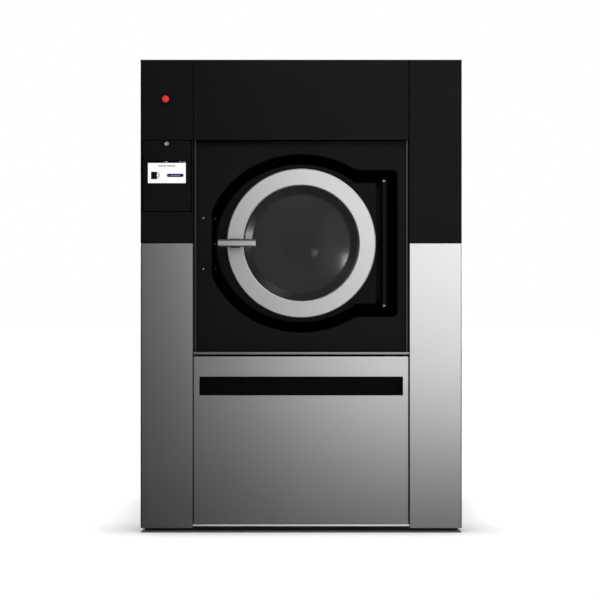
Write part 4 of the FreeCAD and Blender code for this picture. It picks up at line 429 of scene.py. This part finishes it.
# Lower cladding: belt-brushed stainless sheet, ground along the two columns and across the lower panel,
# whose edges lie on a rest of each column.
def brushed(name, stretch, colour, roughness):
    """Stainless sheet ground by a belt: scratches 1 mm apart and about 300 mm long, along one axis."""
    steel, tree, where = finish(name, colour, 1.0, roughness)
    along = add(tree, "Mapping", {"Vector": where}, {"Scale": stretch})
    hair = add(tree, "TexNoise", {"Vector": along}, {"Scale": 1.0, "Detail": 4.0, "Roughness": 0.7})
    smear = add(tree, "TexNoise", {"Vector": where}, {"Scale": 5.0, "Detail": 4.0})
    both = add(tree, "Math", {0: smear, 2: hair}, {1: 0.35}, operation="MULTIPLY_ADD")
    shine = {"From Max": 1.35, "To Min": roughness - 0.07, "To Max": roughness + 0.07}
    add(tree, "MapRange", {"Value": both}, shine, onto="Roughness")
    add(tree, "Bump", {"Height": hair}, {"Strength": 0.25, "Distance": 0.00003}, onto="Normal")
    return steel


column_side = panel_high[0]
column_fold = column_side + 0.0028
lower_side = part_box("lower_panel")[1][0]
lower_edge = lower_side - 0.002

# Brushed stainless: scratches that draw the light out into streaks. The tone is painted dark on the fold of
# each column beside the seam, and on the right edge of the lower panel: painted shade in the seams.
upright_steel = brushed("brushed_stainless_upright", (900, 900, 3), "#b9b9b9", 0.48)
tree, parts = spread(upright_steel)
beside = add(tree, "Math", {0: parts}, operation="ABSOLUTE")
fold_tone = add(tree, "MapRange", {"Value": beside}, {"From Min": column_side, "From Max": column_fold})
add(tree, "ValToRGB", {"Fac": fold_tone}, onto="Base Color", ramp=[(0.25, "#282828"), (1.0, "#b9b9b9")])
dress(upright_steel, "left_column_lower", "right_column_lower", edge=0.0006)
level_steel = brushed("brushed_stainless_level", (3, 900, 900), "#b9b9b9", 0.48)
tree, parts = spread(level_steel)
turned_edge = add(tree, "MapRange", {"Value": parts}, {"From Min": lower_edge, "From Max": lower_side})
add(tree, "ValToRGB", {"Fac": turned_edge}, onto="Base Color", ramp=[(0.0, "#b9b9b9"), (0.5, "#404040")])
dress(level_steel, "lower_panel", edge=0.0006)


# Strips between the panels: thin folded sheet, bright on the cross strip and the kick strip, and black on
# the two upright strips beside the door panel.
upright_x, upright_foot = 0.425, panel_low[2] + 0.001
kick_foot, kick_reach = 0.023, 0.123

# Satin stainless: ground finely along the strip, with a soft sheen. The tones of the strips are painted: the
# kick strip is bright above its dark foot, which is painted light on its face and painted shade under its
# fold, the cross strip is greyer and the upright strips are black.
satin = brushed("satin_stainless", (3, 900, 900), "#c4c4c4", 0.5)
strip = brushed("satin_stainless_strip", (3, 900, 900), "#c4c4c4", 0.5)
tree, parts = spread(strip)
beside = add(tree, "Math", {0: parts.outputs["X"]}, operation="ABSOLUTE")
outer = add(tree, "Math", {0: beside}, {1: upright_x}, operation="GREATER_THAN")
above = add(tree, "Math", {0: parts.outputs["Z"]}, {1: upright_foot}, operation="GREATER_THAN")
black_part = add(tree, "Math", {0: outer, 1: above}, operation="MULTIPLY")
low_part = add(tree, "MapRange", {"Value": parts.outputs["Z"]},
               {"From Min": kick_foot, "From Max": kick_reach})
steel_tone = add(tree, "ValToRGB", {"Fac": low_part},
                 ramp=[(0.015, "#4a4a4a"), (0.05, "#ececec"), (0.6, "#ececec"), (0.7, "#888888")])
add(tree, "MixRGB", {"Fac": black_part, "Color1": steel_tone}, {"Color2": linear("#323233")},
    onto="Base Color")
add(tree, "MapRange", {"Value": black_part}, {"To Min": 1.0, "To Max": 0.0}, onto="Metallic")
dress(strip, "front_trims", edge=0.0005)


# Side panels: brushed stainless trays that hang on the upright frame, each held along both edges by
# button-head screws with a socket.
dress(upright_steel, "left_side_panel", "right_side_panel", edge=0.0006)
screw_head = [(0.0058, 0), (0.0058, 0.0008), (0.0052, 0.0019), (0.0038, 0.0027), (0.0026, 0.003),
              (0.0026, 0.0012), (0, 0.0012)]
side_low, side_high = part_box("left_side_panel")
screw_inset = 0.024
screw_end = 0.08
heights = [side_low[2] + screw_end + (side_high[2] - side_low[2] - 2 * screw_end) * step / 5
           for step in range(6)]
for side in (-1, 1):
    heads = bmesh.new()
    for y in (side_low[1] + screw_inset, side_high[1] - screw_inset):
        for z in heights:
            lathe(heads, screw_head, (-side * side_low[0], y, z), (side, 0, 0), 18)
    piece("left_side_screws" if side < 0 else "right_side_screws", heads, satin, "cabinet", "bright_steel")


# Top cover: a flat sheet of coated steel over the upright frame, screwed down along its four edges.
# Grey powder coat: dull mid grey with a fine pebble, so that the top doesn't glare.
lid_coat, tree, where = finish("powder_coat_grey", "#55585a", 0.0, 0.75, Specular_IOR_Level=0.15)
pebble = add(tree, "TexNoise", {"Vector": where}, {"Scale": 330.0, "Detail": 2.0})
cloud = add(tree, "TexNoise", {"Vector": where}, {"Scale": 4.0, "Detail": 5.0})
add(tree, "ValToRGB", {"Fac": cloud}, onto="Base Color", ramp=[(0.3, "#535658"), (0.7, "#585b5d")])
add(tree, "Bump", {"Height": pebble}, {"Strength": 0.4, "Distance": 0.0001}, onto="Normal")
dress(lid_coat, "top_cover")
lid_low, lid_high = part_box("top_cover")
row_end = 0.04
heads = bmesh.new()
for step in range(7):
    x = lid_low[0] + row_end + (lid_high[0] - lid_low[0] - 2 * row_end) * step / 6
    y = lid_low[1] + row_end + (lid_high[1] - lid_low[1] - 2 * row_end) * step / 6
    for spot in ((x, lid_low[1] + screw_inset), (x, lid_high[1] - screw_inset)):
        lathe(heads, screw_head, (*spot, lid_high[2]), (0, 0, 1), 18)
    for spot in ((lid_low[0] + screw_inset, y), (lid_high[0] - screw_inset, y)):
        if 0 < step < 6:
            lathe(heads, screw_head, (*spot, lid_high[2]), (0, 0, 1), 18)
piece("top_screws", heads, satin, "cabinet", "bright_steel")


# Rear panel and electrical box: zinc-coated sheet, folded and screwed on. The service cover in the rear
# panel has the grey coat of the top.
# Galvanised sheet: grey with crystals of zinc about 12 mm wide that catch the light one by one.
zinc, tree, where = finish("galvanised_sheet", "#8e9295", 0.85, 0.45)
spangle = add(tree, "TexVoronoi", {"Vector": where}, {"Scale": 85.0})
shade = add(tree, "SeparateXYZ", {"Vector": spangle.outputs["Color"]})
add(tree, "ValToRGB", {"Fac": shade}, onto="Base Color", ramp=[(0.0, "#868a8d"), (1.0, "#989c9f")])
add(tree, "MapRange", {"Value": shade.outputs["Y"]}, {"To Min": 0.42, "To Max": 0.52}, onto="Roughness")
dress(zinc, "rear_panel", "electrical_box", edge=0.0006)
dress(lid_coat, "rear_service_cover", edge=0.0006)
dress(satin, "panel_screws", edge=0.0005)
rear_low, rear_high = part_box("rear_panel")
heads = bmesh.new()
for z in heights:
    for x in (rear_low[0] + screw_inset, rear_high[0] - screw_inset):
        lathe(heads, screw_head, (x, rear_high[1], z), (0, 1, 0), 18)
for step in range(1, 6):
    x = rear_low[0] + (rear_high[0] - rear_low[0]) * step / 6
    for z in (rear_low[2] + screw_inset, rear_high[2] - screw_inset):
        lathe(heads, screw_head, (x, rear_high[1], z), (0, 1, 0), 18)
piece("rear_screws", heads, satin, "cabinet", "bright_steel")


# Water valves, vent, drain valve and cable entry: plastic mouldings that pass through the rear panel. The
# bodies of the stop button and the display are moulded in the same black.
# Moulded black plastic: dull, with a fine sparkle.
moulded, tree, where = finish("moulded_plastic_black", "#18181a", 0.0, 0.5)
spark = add(tree, "TexNoise", {"Vector": where}, {"Scale": 700.0, "Detail": 2.0})
add(tree, "MapRange", {"Value": spark}, {"To Min": 0.42, "To Max": 0.6}, onto="Roughness")
add(tree, "Bump", {"Height": spark}, {"Strength": 0.4, "Distance": 0.00008}, onto="Normal")
dress(moulded, "estop_body", "display_housing", "water_inlet", "cable_gland", edge=0.0005)
# Grey PVC: smooth pipe and valve bodies with a faint swirl from the melt.
pvc, tree, where = finish("moulded_pvc_grey", "#6d7072", 0.0, 0.46)
swirl = add(tree, "TexNoise", {"Vector": where}, {"Scale": 25.0, "Detail": 5.0})
add(tree, "ValToRGB", {"Fac": swirl}, onto="Base Color", ramp=[(0.3, "#66696b"), (0.7, "#777a7c")])
dress(pvc, "vent_outlet", "drain_valve", edge=0.0005)


# Door: a thick black-coated plate on its hinge, a satin stainless ring over the joint, and a pressed
# bowl of smoke-tinted glass clamped between the two in a rubber channel.
hinge_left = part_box("hinge_pins")[0][0]
hollow_left, hollow_right = hinge_left - 0.016, hinge_left + 0.044
barrel_left, barrel_right = hinge_left + 0.008, hinge_left + 0.012
plate_front, plate_thick = -0.6665, 0.03
plate_radius, plate_edge = 0.321, 0.005
plate_ear = 0.248
rim_wide, rim_tall = 0.347, 0.3217
rim_root = plate_radius - plate_edge + 0.0001
rim_end = math.asin(plate_ear / plate_radius)
rim_steps = 180

# Door coat: the black of the panels, painted deeper in the hollow beside the hinge barrel as painted shade,
# with a lighter line along the barrel as a painted highlight, and a smoother skin from there to the right.
door_coat = powder_coat("powder_coat_black_door", "#151516", 0.5, 0.02)
tree, parts = spread(door_coat)
hollow = add(tree, "MapRange", {"Value": parts}, {"From Min": hollow_left, "From Max": hollow_right})
barrel = add(tree, "MapRange", {"Value": parts}, {"From Min": barrel_left, "From Max": barrel_right})
add(tree, "ValToRGB", {"Fac": hollow}, onto="Base Color",
    ramp=[(0.0, "#121213"), (0.16, "#050505"), (0.5, "#050505"), (0.57, "#151516"), (0.64, "#151516"),
          (0.72, "#050505")])
add(tree, "MapRange", {"Value": barrel}, {"To Min": 0.5, "To Max": 0.24}, onto="Roughness")
dress(door_coat, "door_plate", edge=0.0006)

# The rim makes the plate an oval. It follows the edge of the plate and ends at the ear of the hinge.
loops = []
for step in range(rim_steps + 1):
    part = step / rim_steps
    turn = rim_end + (math.tau - 2 * rim_end) * part
    reach = 1 / math.hypot(math.cos(turn) / rim_wide, math.sin(turn) / rim_tall)
    profile = [(rim_root, plate_front), (reach - plate_edge, plate_front),
               (reach - plate_edge * 0.3, plate_front + plate_edge * 0.3), (reach, plate_front + plate_edge),
               (reach, plate_front + plate_thick), (rim_root, plate_front + plate_thick)]
    ends = [math.asin(plate_ear / out) for out, y in profile]
    turns = [end + (math.tau - 2 * end) * part for end in ends]
    loops.append([(out * math.cos(turn), y, door_z + out * math.sin(turn))
                  for (out, y), turn in zip(profile, turns)])
rim = bmesh.new()
sweep(rim, loops, False)
piece("door_rim", rim, door_coat, "door", "black_paint")

# Ring steel: ground in circles, so fine that it only takes the shine off.
ring_steel = brushed("satin_stainless_ring", (300, 300, 300), "#c2c2c2", 0.62)
dress(ring_steel, "door_ring", edge=0.002)

glass_low, glass_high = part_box("door_glass")
glass_flange = (glass_high[0] - glass_low[0]) / 2
glass_z = (glass_high[2] + glass_low[2]) / 2
glass_front = glass_low[1]
wall_top = glass_flange - 0.0135
floor_edge = glass_flange - 0.0425
wall_depth = 0.024
bowl_depth = 0.051
glass_thick = 0.007
rim_back = 0.007

# Smoked glass: grey, clearer over the dished floor, and painted deeper and less clear in the sloping wall
# around it, which is painted shade.
smoked, tree, where = finish("smoked_glass", "#232425", 0.0, 0.06, IOR=1.5)
haze = add(tree, "TexNoise", {"Vector": where}, {"Scale": 12.0, "Detail": 4.0})
breath = add(tree, "MapRange", {"Value": haze}, {"To Min": 0.1, "To Max": 0.16})
level = add(tree, "VectorMath", {0: where}, {1: (0.0, glass_front, glass_z)}, operation="SUBTRACT")
radial = add(tree, "VectorMath", {0: level}, {1: (1.0, 0.0, 1.0)}, operation="MULTIPLY")
out = add(tree, "VectorMath", {0: radial}, operation="LENGTH")
wall = add(tree, "MapRange", {"Value": out.outputs["Value"]},
           {"From Min": floor_edge - 0.006, "From Max": floor_edge + 0.004})
add(tree, "Math", {0: wall, 2: breath}, {1: 0.15}, onto="Roughness", operation="MULTIPLY_ADD")
add(tree, "ValToRGB", {"Fac": wall}, onto="Base Color", ramp=[(0.0, "#343434"), (1.0, "#252525")])
add(tree, "MapRange", {"Value": wall}, {"To Min": 0.7, "To Max": 0.86}, onto="Alpha")


def bowl_face(front):
    """Points of one face of the glass, from the middle of the floor out to the top of the wall."""
    sink = bowl_depth - wall_depth
    foot = front + wall_depth
    parts = [step / 20 for step in range(20)]
    floor = [(floor_edge * part, foot + sink * (1 - part * part)) for part in parts]
    knee = [(floor_edge - 0.002, foot + 0.0006), (floor_edge + 0.001, foot - 0.001),
            (floor_edge + 0.003, foot - 0.003)]
    steps = [step / 8 for step in range(2, 8)]
    wall = [(floor_edge + (wall_top - floor_edge) * part, front + wall_depth * (1 - part)) for part in steps]
    return floor + knee + wall + [(wall_top - 0.001, front + 0.0012), (wall_top + 0.002, front)]


bowl = bmesh.new()
face_points = bowl_face(0.0)
rear_points = [(radius, along + glass_thick) for radius, along in face_points[:-1]]
rim_points = [(glass_flange - 0.001, 0.0), (glass_flange, 0.001), (glass_flange, rim_back - 0.001),
              (glass_flange - 0.001, rim_back), (wall_top + glass_thick, rim_back)]
lathe(bowl, face_points + rim_points + rear_points[::-1], (0, glass_front, glass_z), (0, 1, 0), 160)
door_bowl = piece("door_bowl", bowl, smoked, "door", "door_glass", "door_glass")


# Door handle: a bevelled bar of ground stainless, on a pin in a black-coated bracket that is screwed to
# the ring.
# Coated steel: the satin black of the panels, with a faint shine in patches.
coated, tree, where = finish("coated_steel_black", "#0c0c0d", 0.0, 0.5, Specular_IOR_Level=0.12)
rub = add(tree, "TexNoise", {"Vector": where}, {"Scale": 60.0, "Detail": 5.0})
add(tree, "MapRange", {"Value": rub}, {"To Min": 0.4, "To Max": 0.62}, onto="Roughness")
add(tree, "ValToRGB", {"Fac": rub}, onto="Base Color", ramp=[(0.35, "#0a0a0b"), (0.75, "#121213")])
dress(coated, "handle_bracket", edge=0.0006)
handle_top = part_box("door_handle")[1][2]
bevel_low, bevel_high = handle_top - 0.0095, handle_top - 0.0015
# Handle steel: ground along the bar, and painted darker on the bevel along its top: a painted dark
# reflection.
handle_steel = brushed("satin_stainless_handle", (3, 900, 900), "#b8b8b8", 0.5)
tree, parts = spread(handle_steel)
bevel = add(tree, "MapRange", {"Value": parts.outputs["Z"]}, {"From Min": bevel_low, "From Max": bevel_high})
add(tree, "ValToRGB", {"Fac": bevel}, onto="Base Color",
    ramp=[(0.0, "#b8b8b8"), (0.25, "#8b8b8b"), (0.6, "#5c5c5c")])
dress(handle_steel, "door_handle", edge=0.0012)


# Lock plate: a black plate on the front of the tub that carries the lock. The ends of its two studs show
# as dull dots in the dark gap beside the door.
lock_low, lock_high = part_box("lock_plate")
stud_x, stud_z = (lock_low[0] + lock_high[0]) / 2, (lock_low[2] + lock_high[2]) / 2
stud_rise = 0.1025
stud_end = [(0.0036, 0), (0.0036, 0.0012), (0.003, 0.0018), (0.0014, 0.002), (0.0014, 0.001), (0, 0.001)]
studs = bmesh.new()
for side in (-1, 1):
    lathe(studs, stud_end, (stud_x, lock_low[1], stud_z + side * stud_rise), (0, -1, 0), 24)
piece("lock_stud_ends", studs, cast_iron, "tub_group", "bright_steel")


# Hinge pins: ground steel pins whose ends show above and below the barrel of the door. The hinge of the
# control hatch is coated black.
# Ground steel: smooth, and painted grey along a narrow line and near black beside it, so that each pin shows
# as one streak: a painted highlight.
pin_steel, tree, where = finish("ground_steel", "#808183", 1.0, 0.3)
speck = add(tree, "TexNoise", {"Vector": where}, {"Scale": 500.0, "Detail": 3.0})
add(tree, "MapRange", {"Value": speck}, {"To Min": 0.26, "To Max": 0.36}, onto="Roughness")
pin_low, pin_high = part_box("hinge_pins")
streak_x = (pin_low[0] + pin_high[0]) / 2 - 0.0015
parts = add(tree, "SeparateXYZ", {"Vector": where})
across = add(tree, "Math", {0: parts}, {1: streak_x}, operation="SUBTRACT")
away = add(tree, "Math", {0: across}, operation="ABSOLUTE")
streak = add(tree, "MapRange", {"Value": away}, {"From Min": 0.0025, "From Max": 0.006})
add(tree, "ValToRGB", {"Fac": streak}, onto="Base Color", ramp=[(0.0, "#707173"), (1.0, "#151515")])
dress(pin_steel, "hinge_pins", edge=0.0005)
dress(coated, "hatch_hinge", edge=0.0005)


# Emergency stop: a red moulded mushroom head with a shallow dish in its face, on a sliding stem in the
# black body behind the column.
# Red plastic: bright and half glossy, with a faint ripple from the mould.
red, tree, where = finish("moulded_plastic_red", "#dc2a26", 0.0, 0.45, Specular_IOR_Level=0.25)
ripple = add(tree, "TexNoise", {"Vector": where}, {"Scale": 120.0, "Detail": 3.0})
add(tree, "MapRange", {"Value": ripple}, {"To Min": 0.4, "To Max": 0.52}, onto="Roughness")
add(tree, "ValToRGB", {"Fac": ripple}, onto="Base Color", ramp=[(0.3, "#d62722"), (0.7, "#e2302a")])
stop_low, stop_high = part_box("estop_button")
stop_place = ((stop_low[0] + stop_high[0]) / 2, stop_low[1], (stop_low[2] + stop_high[2]) / 2)
stop_radius = (stop_high[0] - stop_low[0]) / 2
stop_tail = stop_high[1] - stop_low[1]
stop_head = 0.015
stop_stem = 0.008
dome = [(stop_radius * math.sin(math.radians(turn)), stop_head * 0.42 * (1 - math.cos(math.radians(turn))))
        for turn in range(15, 91, 15)]
dish = [(0, 0.0009), (stop_radius * 0.14, 0.0007)]
skirt = [(stop_radius, stop_head * 0.7), (stop_radius * 0.93, stop_head * 0.9),
         (stop_radius * 0.8, stop_head)]
stem = [(stop_stem, stop_head), (stop_stem, stop_tail), (0, stop_tail)]
button = bmesh.new()
lathe(button, dish + dome + skirt + stem, stop_place, (0, 1, 0), 64)
piece("estop_head", button, red, "stop_button", "red_plastic", "estop_button")


# Key lock of the control hatch: a nickel-plated core with a key slot, in a plated collar.
# Nickel plate: bright and warm, with hairlines from polishing.
nickel, tree, where = finish("nickel_plate", "#d2d1cf", 1.0, 0.6)
polish = add(tree, "TexNoise", {"Vector": where}, {"Scale": 800.0, "Detail": 2.0})
add(tree, "MapRange", {"Value": polish}, {"To Min": 0.54, "To Max": 0.66}, onto="Roughness")
dress(nickel, "hatch_lock", edge=0.0005)
key_low, key_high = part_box("hatch_lock")
key_z = (key_low[2] + key_high[2]) / 2
key_core = (key_high[2] - key_low[2]) / 2
key_x = key_high[0] - key_core
hatch_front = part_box("control_hatch")[0][1]
collar_in, collar_out = key_core + 0.0002, key_core + 0.0022
collar = bmesh.new()
lathe(collar, [(collar_in, 0), (collar_out, 0), (collar_out, 0.001), (key_core + 0.0018, 0.002),
               (key_core + 0.0009, 0.0024), (collar_in, 0.0018), (collar_in, 0)],
      (key_x, hatch_front, key_z), (0, -1, 0), 40)
piece("key_collar", collar, nickel, "hatch", "bright_steel")


# Display: a sheet of black glass set in the hatch. On it a white page is lit, with marks above it, a title
# of two bars, a drawing made of a block and a ring, and one button with bars for words.
def lit(name, colour, strength):
    """A lit part of the screen: one colour crossed by fine rows, drawn wide enough to show."""
    glow, tree, where = finish(name, "#050505", 0.0, 0.35, Emission_Strength=strength,
                               Specular_IOR_Level=0.05)
    rows = add(tree, "TexWave", {"Vector": where}, {"Scale": 160.0, "Distortion": 0.0}, bands_direction="Z")
    dim = tuple(round(int(colour[place:place + 2], 16) * 0.95) for place in (1, 3, 5))
    add(tree, "ValToRGB", {"Fac": rows}, onto="Emission Color",
        ramp=[(0.0, "#%02x%02x%02x" % dim), (1.0, colour)])
    return glow


display_low, display_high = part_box("display_glass")
display_width = display_high[0] - display_low[0]
display_height = display_high[2] - display_low[2]
screen_layer, screen_plate = 0.0002, 0.0003
ring_x, ring_z, ring_inner, ring_outer = 0.252, 0.36, 0.0074, 0.0106
pill_left, pill_right, pill_low, pill_high = 0.505, 0.937, 0.282, 0.43
# Black display glass: deep and smooth, with a breath of haze that breaks up its reflection.
black_glass, tree, where = finish("display_glass_black", "#060607", 0.0, 0.18, Specular_IOR_Level=0.3)
haze = add(tree, "TexNoise", {"Vector": where}, {"Scale": 30.0, "Detail": 4.0})
add(tree, "MapRange", {"Value": haze}, {"To Min": 0.14, "To Max": 0.24}, onto="Roughness")
dress(black_glass, "display_glass", edge=0.0004)


def shown(mesh, left, right, low, high, layer=1):
    """A thin plate of the picture between parts of the display's width and height, in layers."""
    front = display_low[1] - screen_layer * layer
    block(mesh, (display_low[0] + display_width * left, front, display_low[2] + display_height * low),
          (display_low[0] + display_width * right, front + screen_plate,
           display_low[2] + display_height * high), 0.00006)


page = bmesh.new()
shown(page, 0.0185, 0.9935, 0.012, 0.904)
for left, right in ((0.46, 0.53), (0.83, 0.865), (0.9, 0.92), (0.95, 0.985)):
    shown(page, left, right, 0.94, 0.957)
piece("screen_page", page, lit("screen_white", "#fdfdfd", 1.07), "hatch", "screen")
title = bmesh.new()
shown(title, 0.285, 0.485, 0.74, 0.81, 2)
shown(title, 0.51, 0.72, 0.74, 0.81, 2)
piece("screen_title", title, lit("screen_grey", "#b6b7b8", 1.0), "hatch", "screen")
drawing = bmesh.new()
shown(drawing, 0.098, ring_x, 0.185, 0.515, 2)
ring_spot = (display_low[0] + display_width * ring_x, display_low[1] - screen_layer,
             display_low[2] + display_height * ring_z)
lathe(drawing, [(ring_inner, 0), (ring_outer, 0), (ring_outer, screen_layer), (ring_inner, screen_layer),
                (ring_inner, 0)], ring_spot, (0, -1, 0), 40)
piece("screen_drawing", drawing, lit("screen_ink", "#101114", 0.9), "hatch", "screen")
pill = bmesh.new()
pill_half = display_height * (pill_high - pill_low) / 2
round_part = pill_half / display_width
shown(pill, pill_left + round_part, pill_right - round_part, pill_low, pill_high, 2)
for part in (pill_left + round_part, pill_right - round_part):
    end = (display_low[0] + display_width * part, display_low[1] - screen_layer / 2,
           display_low[2] + display_height * (pill_low + pill_high) / 2)
    lathe(pill, [(0, 0), (pill_half, 0), (pill_half, screen_plate), (0, screen_plate)], end, (0, -1, 0), 32)
piece("screen_pill", pill, lit("screen_navy", "#1b1638", 0.9), "hatch", "screen")
words = bmesh.new()
shown(words, 0.6, 0.85, 0.345, 0.371, 3)
shown(words, 0.535, 0.555, 0.343, 0.373, 3)
piece("screen_words", words, lit("screen_lilac", "#a29fc4", 0.9), "hatch", "screen")


# Studio: a white floor and backdrop, a large soft light in front at the right, and soft lights behind and
# beside the machine for the other views.
floor_half, floor_drop = 60.0, 0.0005
shade_line, shade_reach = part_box("lower_panel")[0][1] + 0.05, 0.34
glow_near, glow_far = 0.055, 0.22
sheet = bmesh.new()
bmesh.ops.create_grid(sheet, x_segments=1, y_segments=1, size=floor_half)
floor_data = bpy.data.meshes.new("studio_floor")
sheet.to_mesh(floor_data)
sheet.free()
floor = bpy.data.objects.new("studio_floor", floor_data)
floor.location.z = -floor_drop
floor.visible_glossy = False
bpy.context.scene.collection.objects.link(floor)
# Studio paper: matt white with a glow of its own, which is weaker close to the front of the machine, so that
# a painted shadow darkens the floor softly there as in the photograph.
paper, tree, where = finish("studio_paper_white", "#f0f0f0", 0.0, 0.9, Emission_Color=linear("#ffffff"))
parts = add(tree, "SeparateXYZ", {"Vector": where})
sideways = add(tree, "Math", {0: parts}, operation="ABSOLUTE")
far = add(tree, "Math", {0: sideways}, {1: cad_box[1][0]}, operation="SUBTRACT")
beside_part = add(tree, "Math", {0: far}, {1: 0.0}, operation="MAXIMUM")
front_part = add(tree, "Math", {0: parts.outputs["Y"]}, {1: shade_line}, operation="SUBTRACT")
spot = add(tree, "CombineXYZ", {0: beside_part, 1: front_part})
away = add(tree, "VectorMath", {0: spot}, operation="LENGTH")
add(tree, "MapRange", {"Value": away.outputs["Value"]},
    {"From Max": shade_reach, "To Min": glow_near, "To Max": glow_far}, onto="Emission Strength")
floor_data.materials.append(paper)


def light(name, place, aim, size, power):
    """A soft rectangular light that points at a spot and isn't seen itself."""
    lamp = bpy.data.lights.new(name, "AREA")
    lamp.shape = "RECTANGLE"
    lamp.size, lamp.size_y = size
    lamp.energy = power
    thing = bpy.data.objects.new(name, lamp)
    thing.location = place
    thing.rotation_euler = (Vector(aim) - Vector(place)).to_track_quat("-Z", "Y").to_euler()
    thing.visible_camera = False
    bpy.context.scene.collection.objects.link(thing)
    return thing


def only(lamp, name, state, *things):
    """Lets a light fall only on some pieces, or on all but those."""
    group = bpy.data.collections.new(name)
    for thing in things:
        group.objects.link(thing)
    lamp.light_linking.receiver_collection = group
    for member in group.collection_objects:
        member.light_linking.link_state = state


# The glass has lights of its own, which set the reflections that the photograph shows in it. The kick
# strip, the sides and the floor have theirs too.
key = light("key", (0.68, -1.5, 1.6), (0.3, -0.68, 1.1), (2.0, 2.85), 39)
key.visible_diffuse = False
only(key, "not_glass", "EXCLUDE", door_bowl)
glass_spot = (0, -0.66, 1.2)
for name, place, size, power in (("glint", (2.36, -1.47, 0.88), (0.6, 0.28), 17),
                                 ("glint_low", (0.66, -1.11, 0.06), (0.3, 0.1), 0.12),
                                 ("glint_high", (0.89, -1.3, 2.87), (1.2, 0.8), 3),
                                 ("glint_left", (-1.59, -1.3, 2.23), (0.8, 0.8), 0.7),
                                 ("window", (-1.7, -4.2, 1.3), (2.0, 2.4), 5),
                                 ("window_low", (-0.3, -3.0, 0.2), (2.4, 0.5), 0.9),
                                 ("sparkle", (-1.34, -3.32, 1.76), (0.55, 0.36), 9)):
    only(light(name, place, glass_spot, size, power), name + "_on_glass", "INCLUDE", door_bowl)
kick_glow = light("kick_glow", (0.1, -1.4, 0.12), (0, -0.68, 0.03), (1.4, 0.2), 1.8)
only(kick_glow, "strips", "INCLUDE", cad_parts["front_trims"])
light("drum_glow", (0.42, -0.1, 1.1), (0, 0.27, 1.17), (0.1, 0.1), 0.2)
behind = [light("rear_left", (-2.6, 3.2, 2.4), (0, 0.7, 1.0), (2.0, 2.4), 180),
          light("rear_right", (2.6, 3.4, 2.0), (0, 0.7, 1.0), (2.0, 2.4), 140)]
beside = [light("left_side", (-3.4, 1.2, 1.9), (-0.65, 0.2, 1.0), (2.4, 2.8), 36),
          light("right_side", (3.4, 1.2, 1.9), (0.65, 0.2, 1.0), (2.4, 2.8), 30)]


def daylight(name, strength, width):
    """A soft light from straight above that leaves no shine."""
    lamp = bpy.data.lights.new(name, "SUN")
    lamp.energy = strength
    lamp.angle = math.radians(width)
    thing = bpy.data.objects.new(name, lamp)
    thing.visible_glossy = False
    bpy.context.scene.collection.objects.link(thing)
    return thing


front_fill = light("front_fill", (-0.2, -2.2, 3.4), (0, -0.7, 1.2), (2.0, 1.2), 15)
front_fill.visible_glossy = False
beside += [daylight("overhead", 2.75, 120), front_fill]
only(daylight("above", 3.2, 16), "floor_only", "INCLUDE", floor)
for lamp in beside:
    only(lamp, lamp.name + "_not_floor", "EXCLUDE", floor)
sides = [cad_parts["left_side_panel"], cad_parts["right_side_panel"]]
for name, side in (("front_left", -1), ("front_right", 1)):
    lamp = light(name, (side * 2.9, -3.6, 1.9), (side * 0.65, 0, 1.0), (2.0, 2.6), 26)
    only(lamp, lamp.name + "_on_sides", "INCLUDE", *sides)
for lamp in behind:
    only(lamp, lamp.name + "_rear_only", "EXCLUDE", floor, *sides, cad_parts["top_cover"])

# The backdrop is white where it is seen, and gives the machine almost no light.
world = bpy.data.worlds.new("studio")
bpy.context.scene.world = world
world.use_nodes = True
tree = world.node_tree
tree.nodes.clear()
seen = add(tree, "LightPath").outputs["Is Camera Ray"]
dim = add(tree, "Background", values={"Color": (1, 1, 1, 1), "Strength": 0.012})
bright = add(tree, "Background", values={"Color": (1, 1, 1, 1), "Strength": 1.0})
both = add(tree, "MixShader", {0: seen, 1: dim, 2: bright})
add(tree, "OutputWorld", {"Surface": both})

# Camera: a long lens straight in front of the machine, level with its middle.
bpy.context.scene.view_settings.view_transform = "Standard"
camera = bpy.data.cameras.new("camera")
camera.lens = 109.0
camera.sensor_width = 36.0
view = bpy.data.objects.new("camera", camera)
view.location = (-0.0047, -8.0785, 0.947)
view.rotation_euler = (math.pi / 2, 0, 0)
bpy.context.scene.collection.objects.link(view)
bpy.context.scene.camera = view
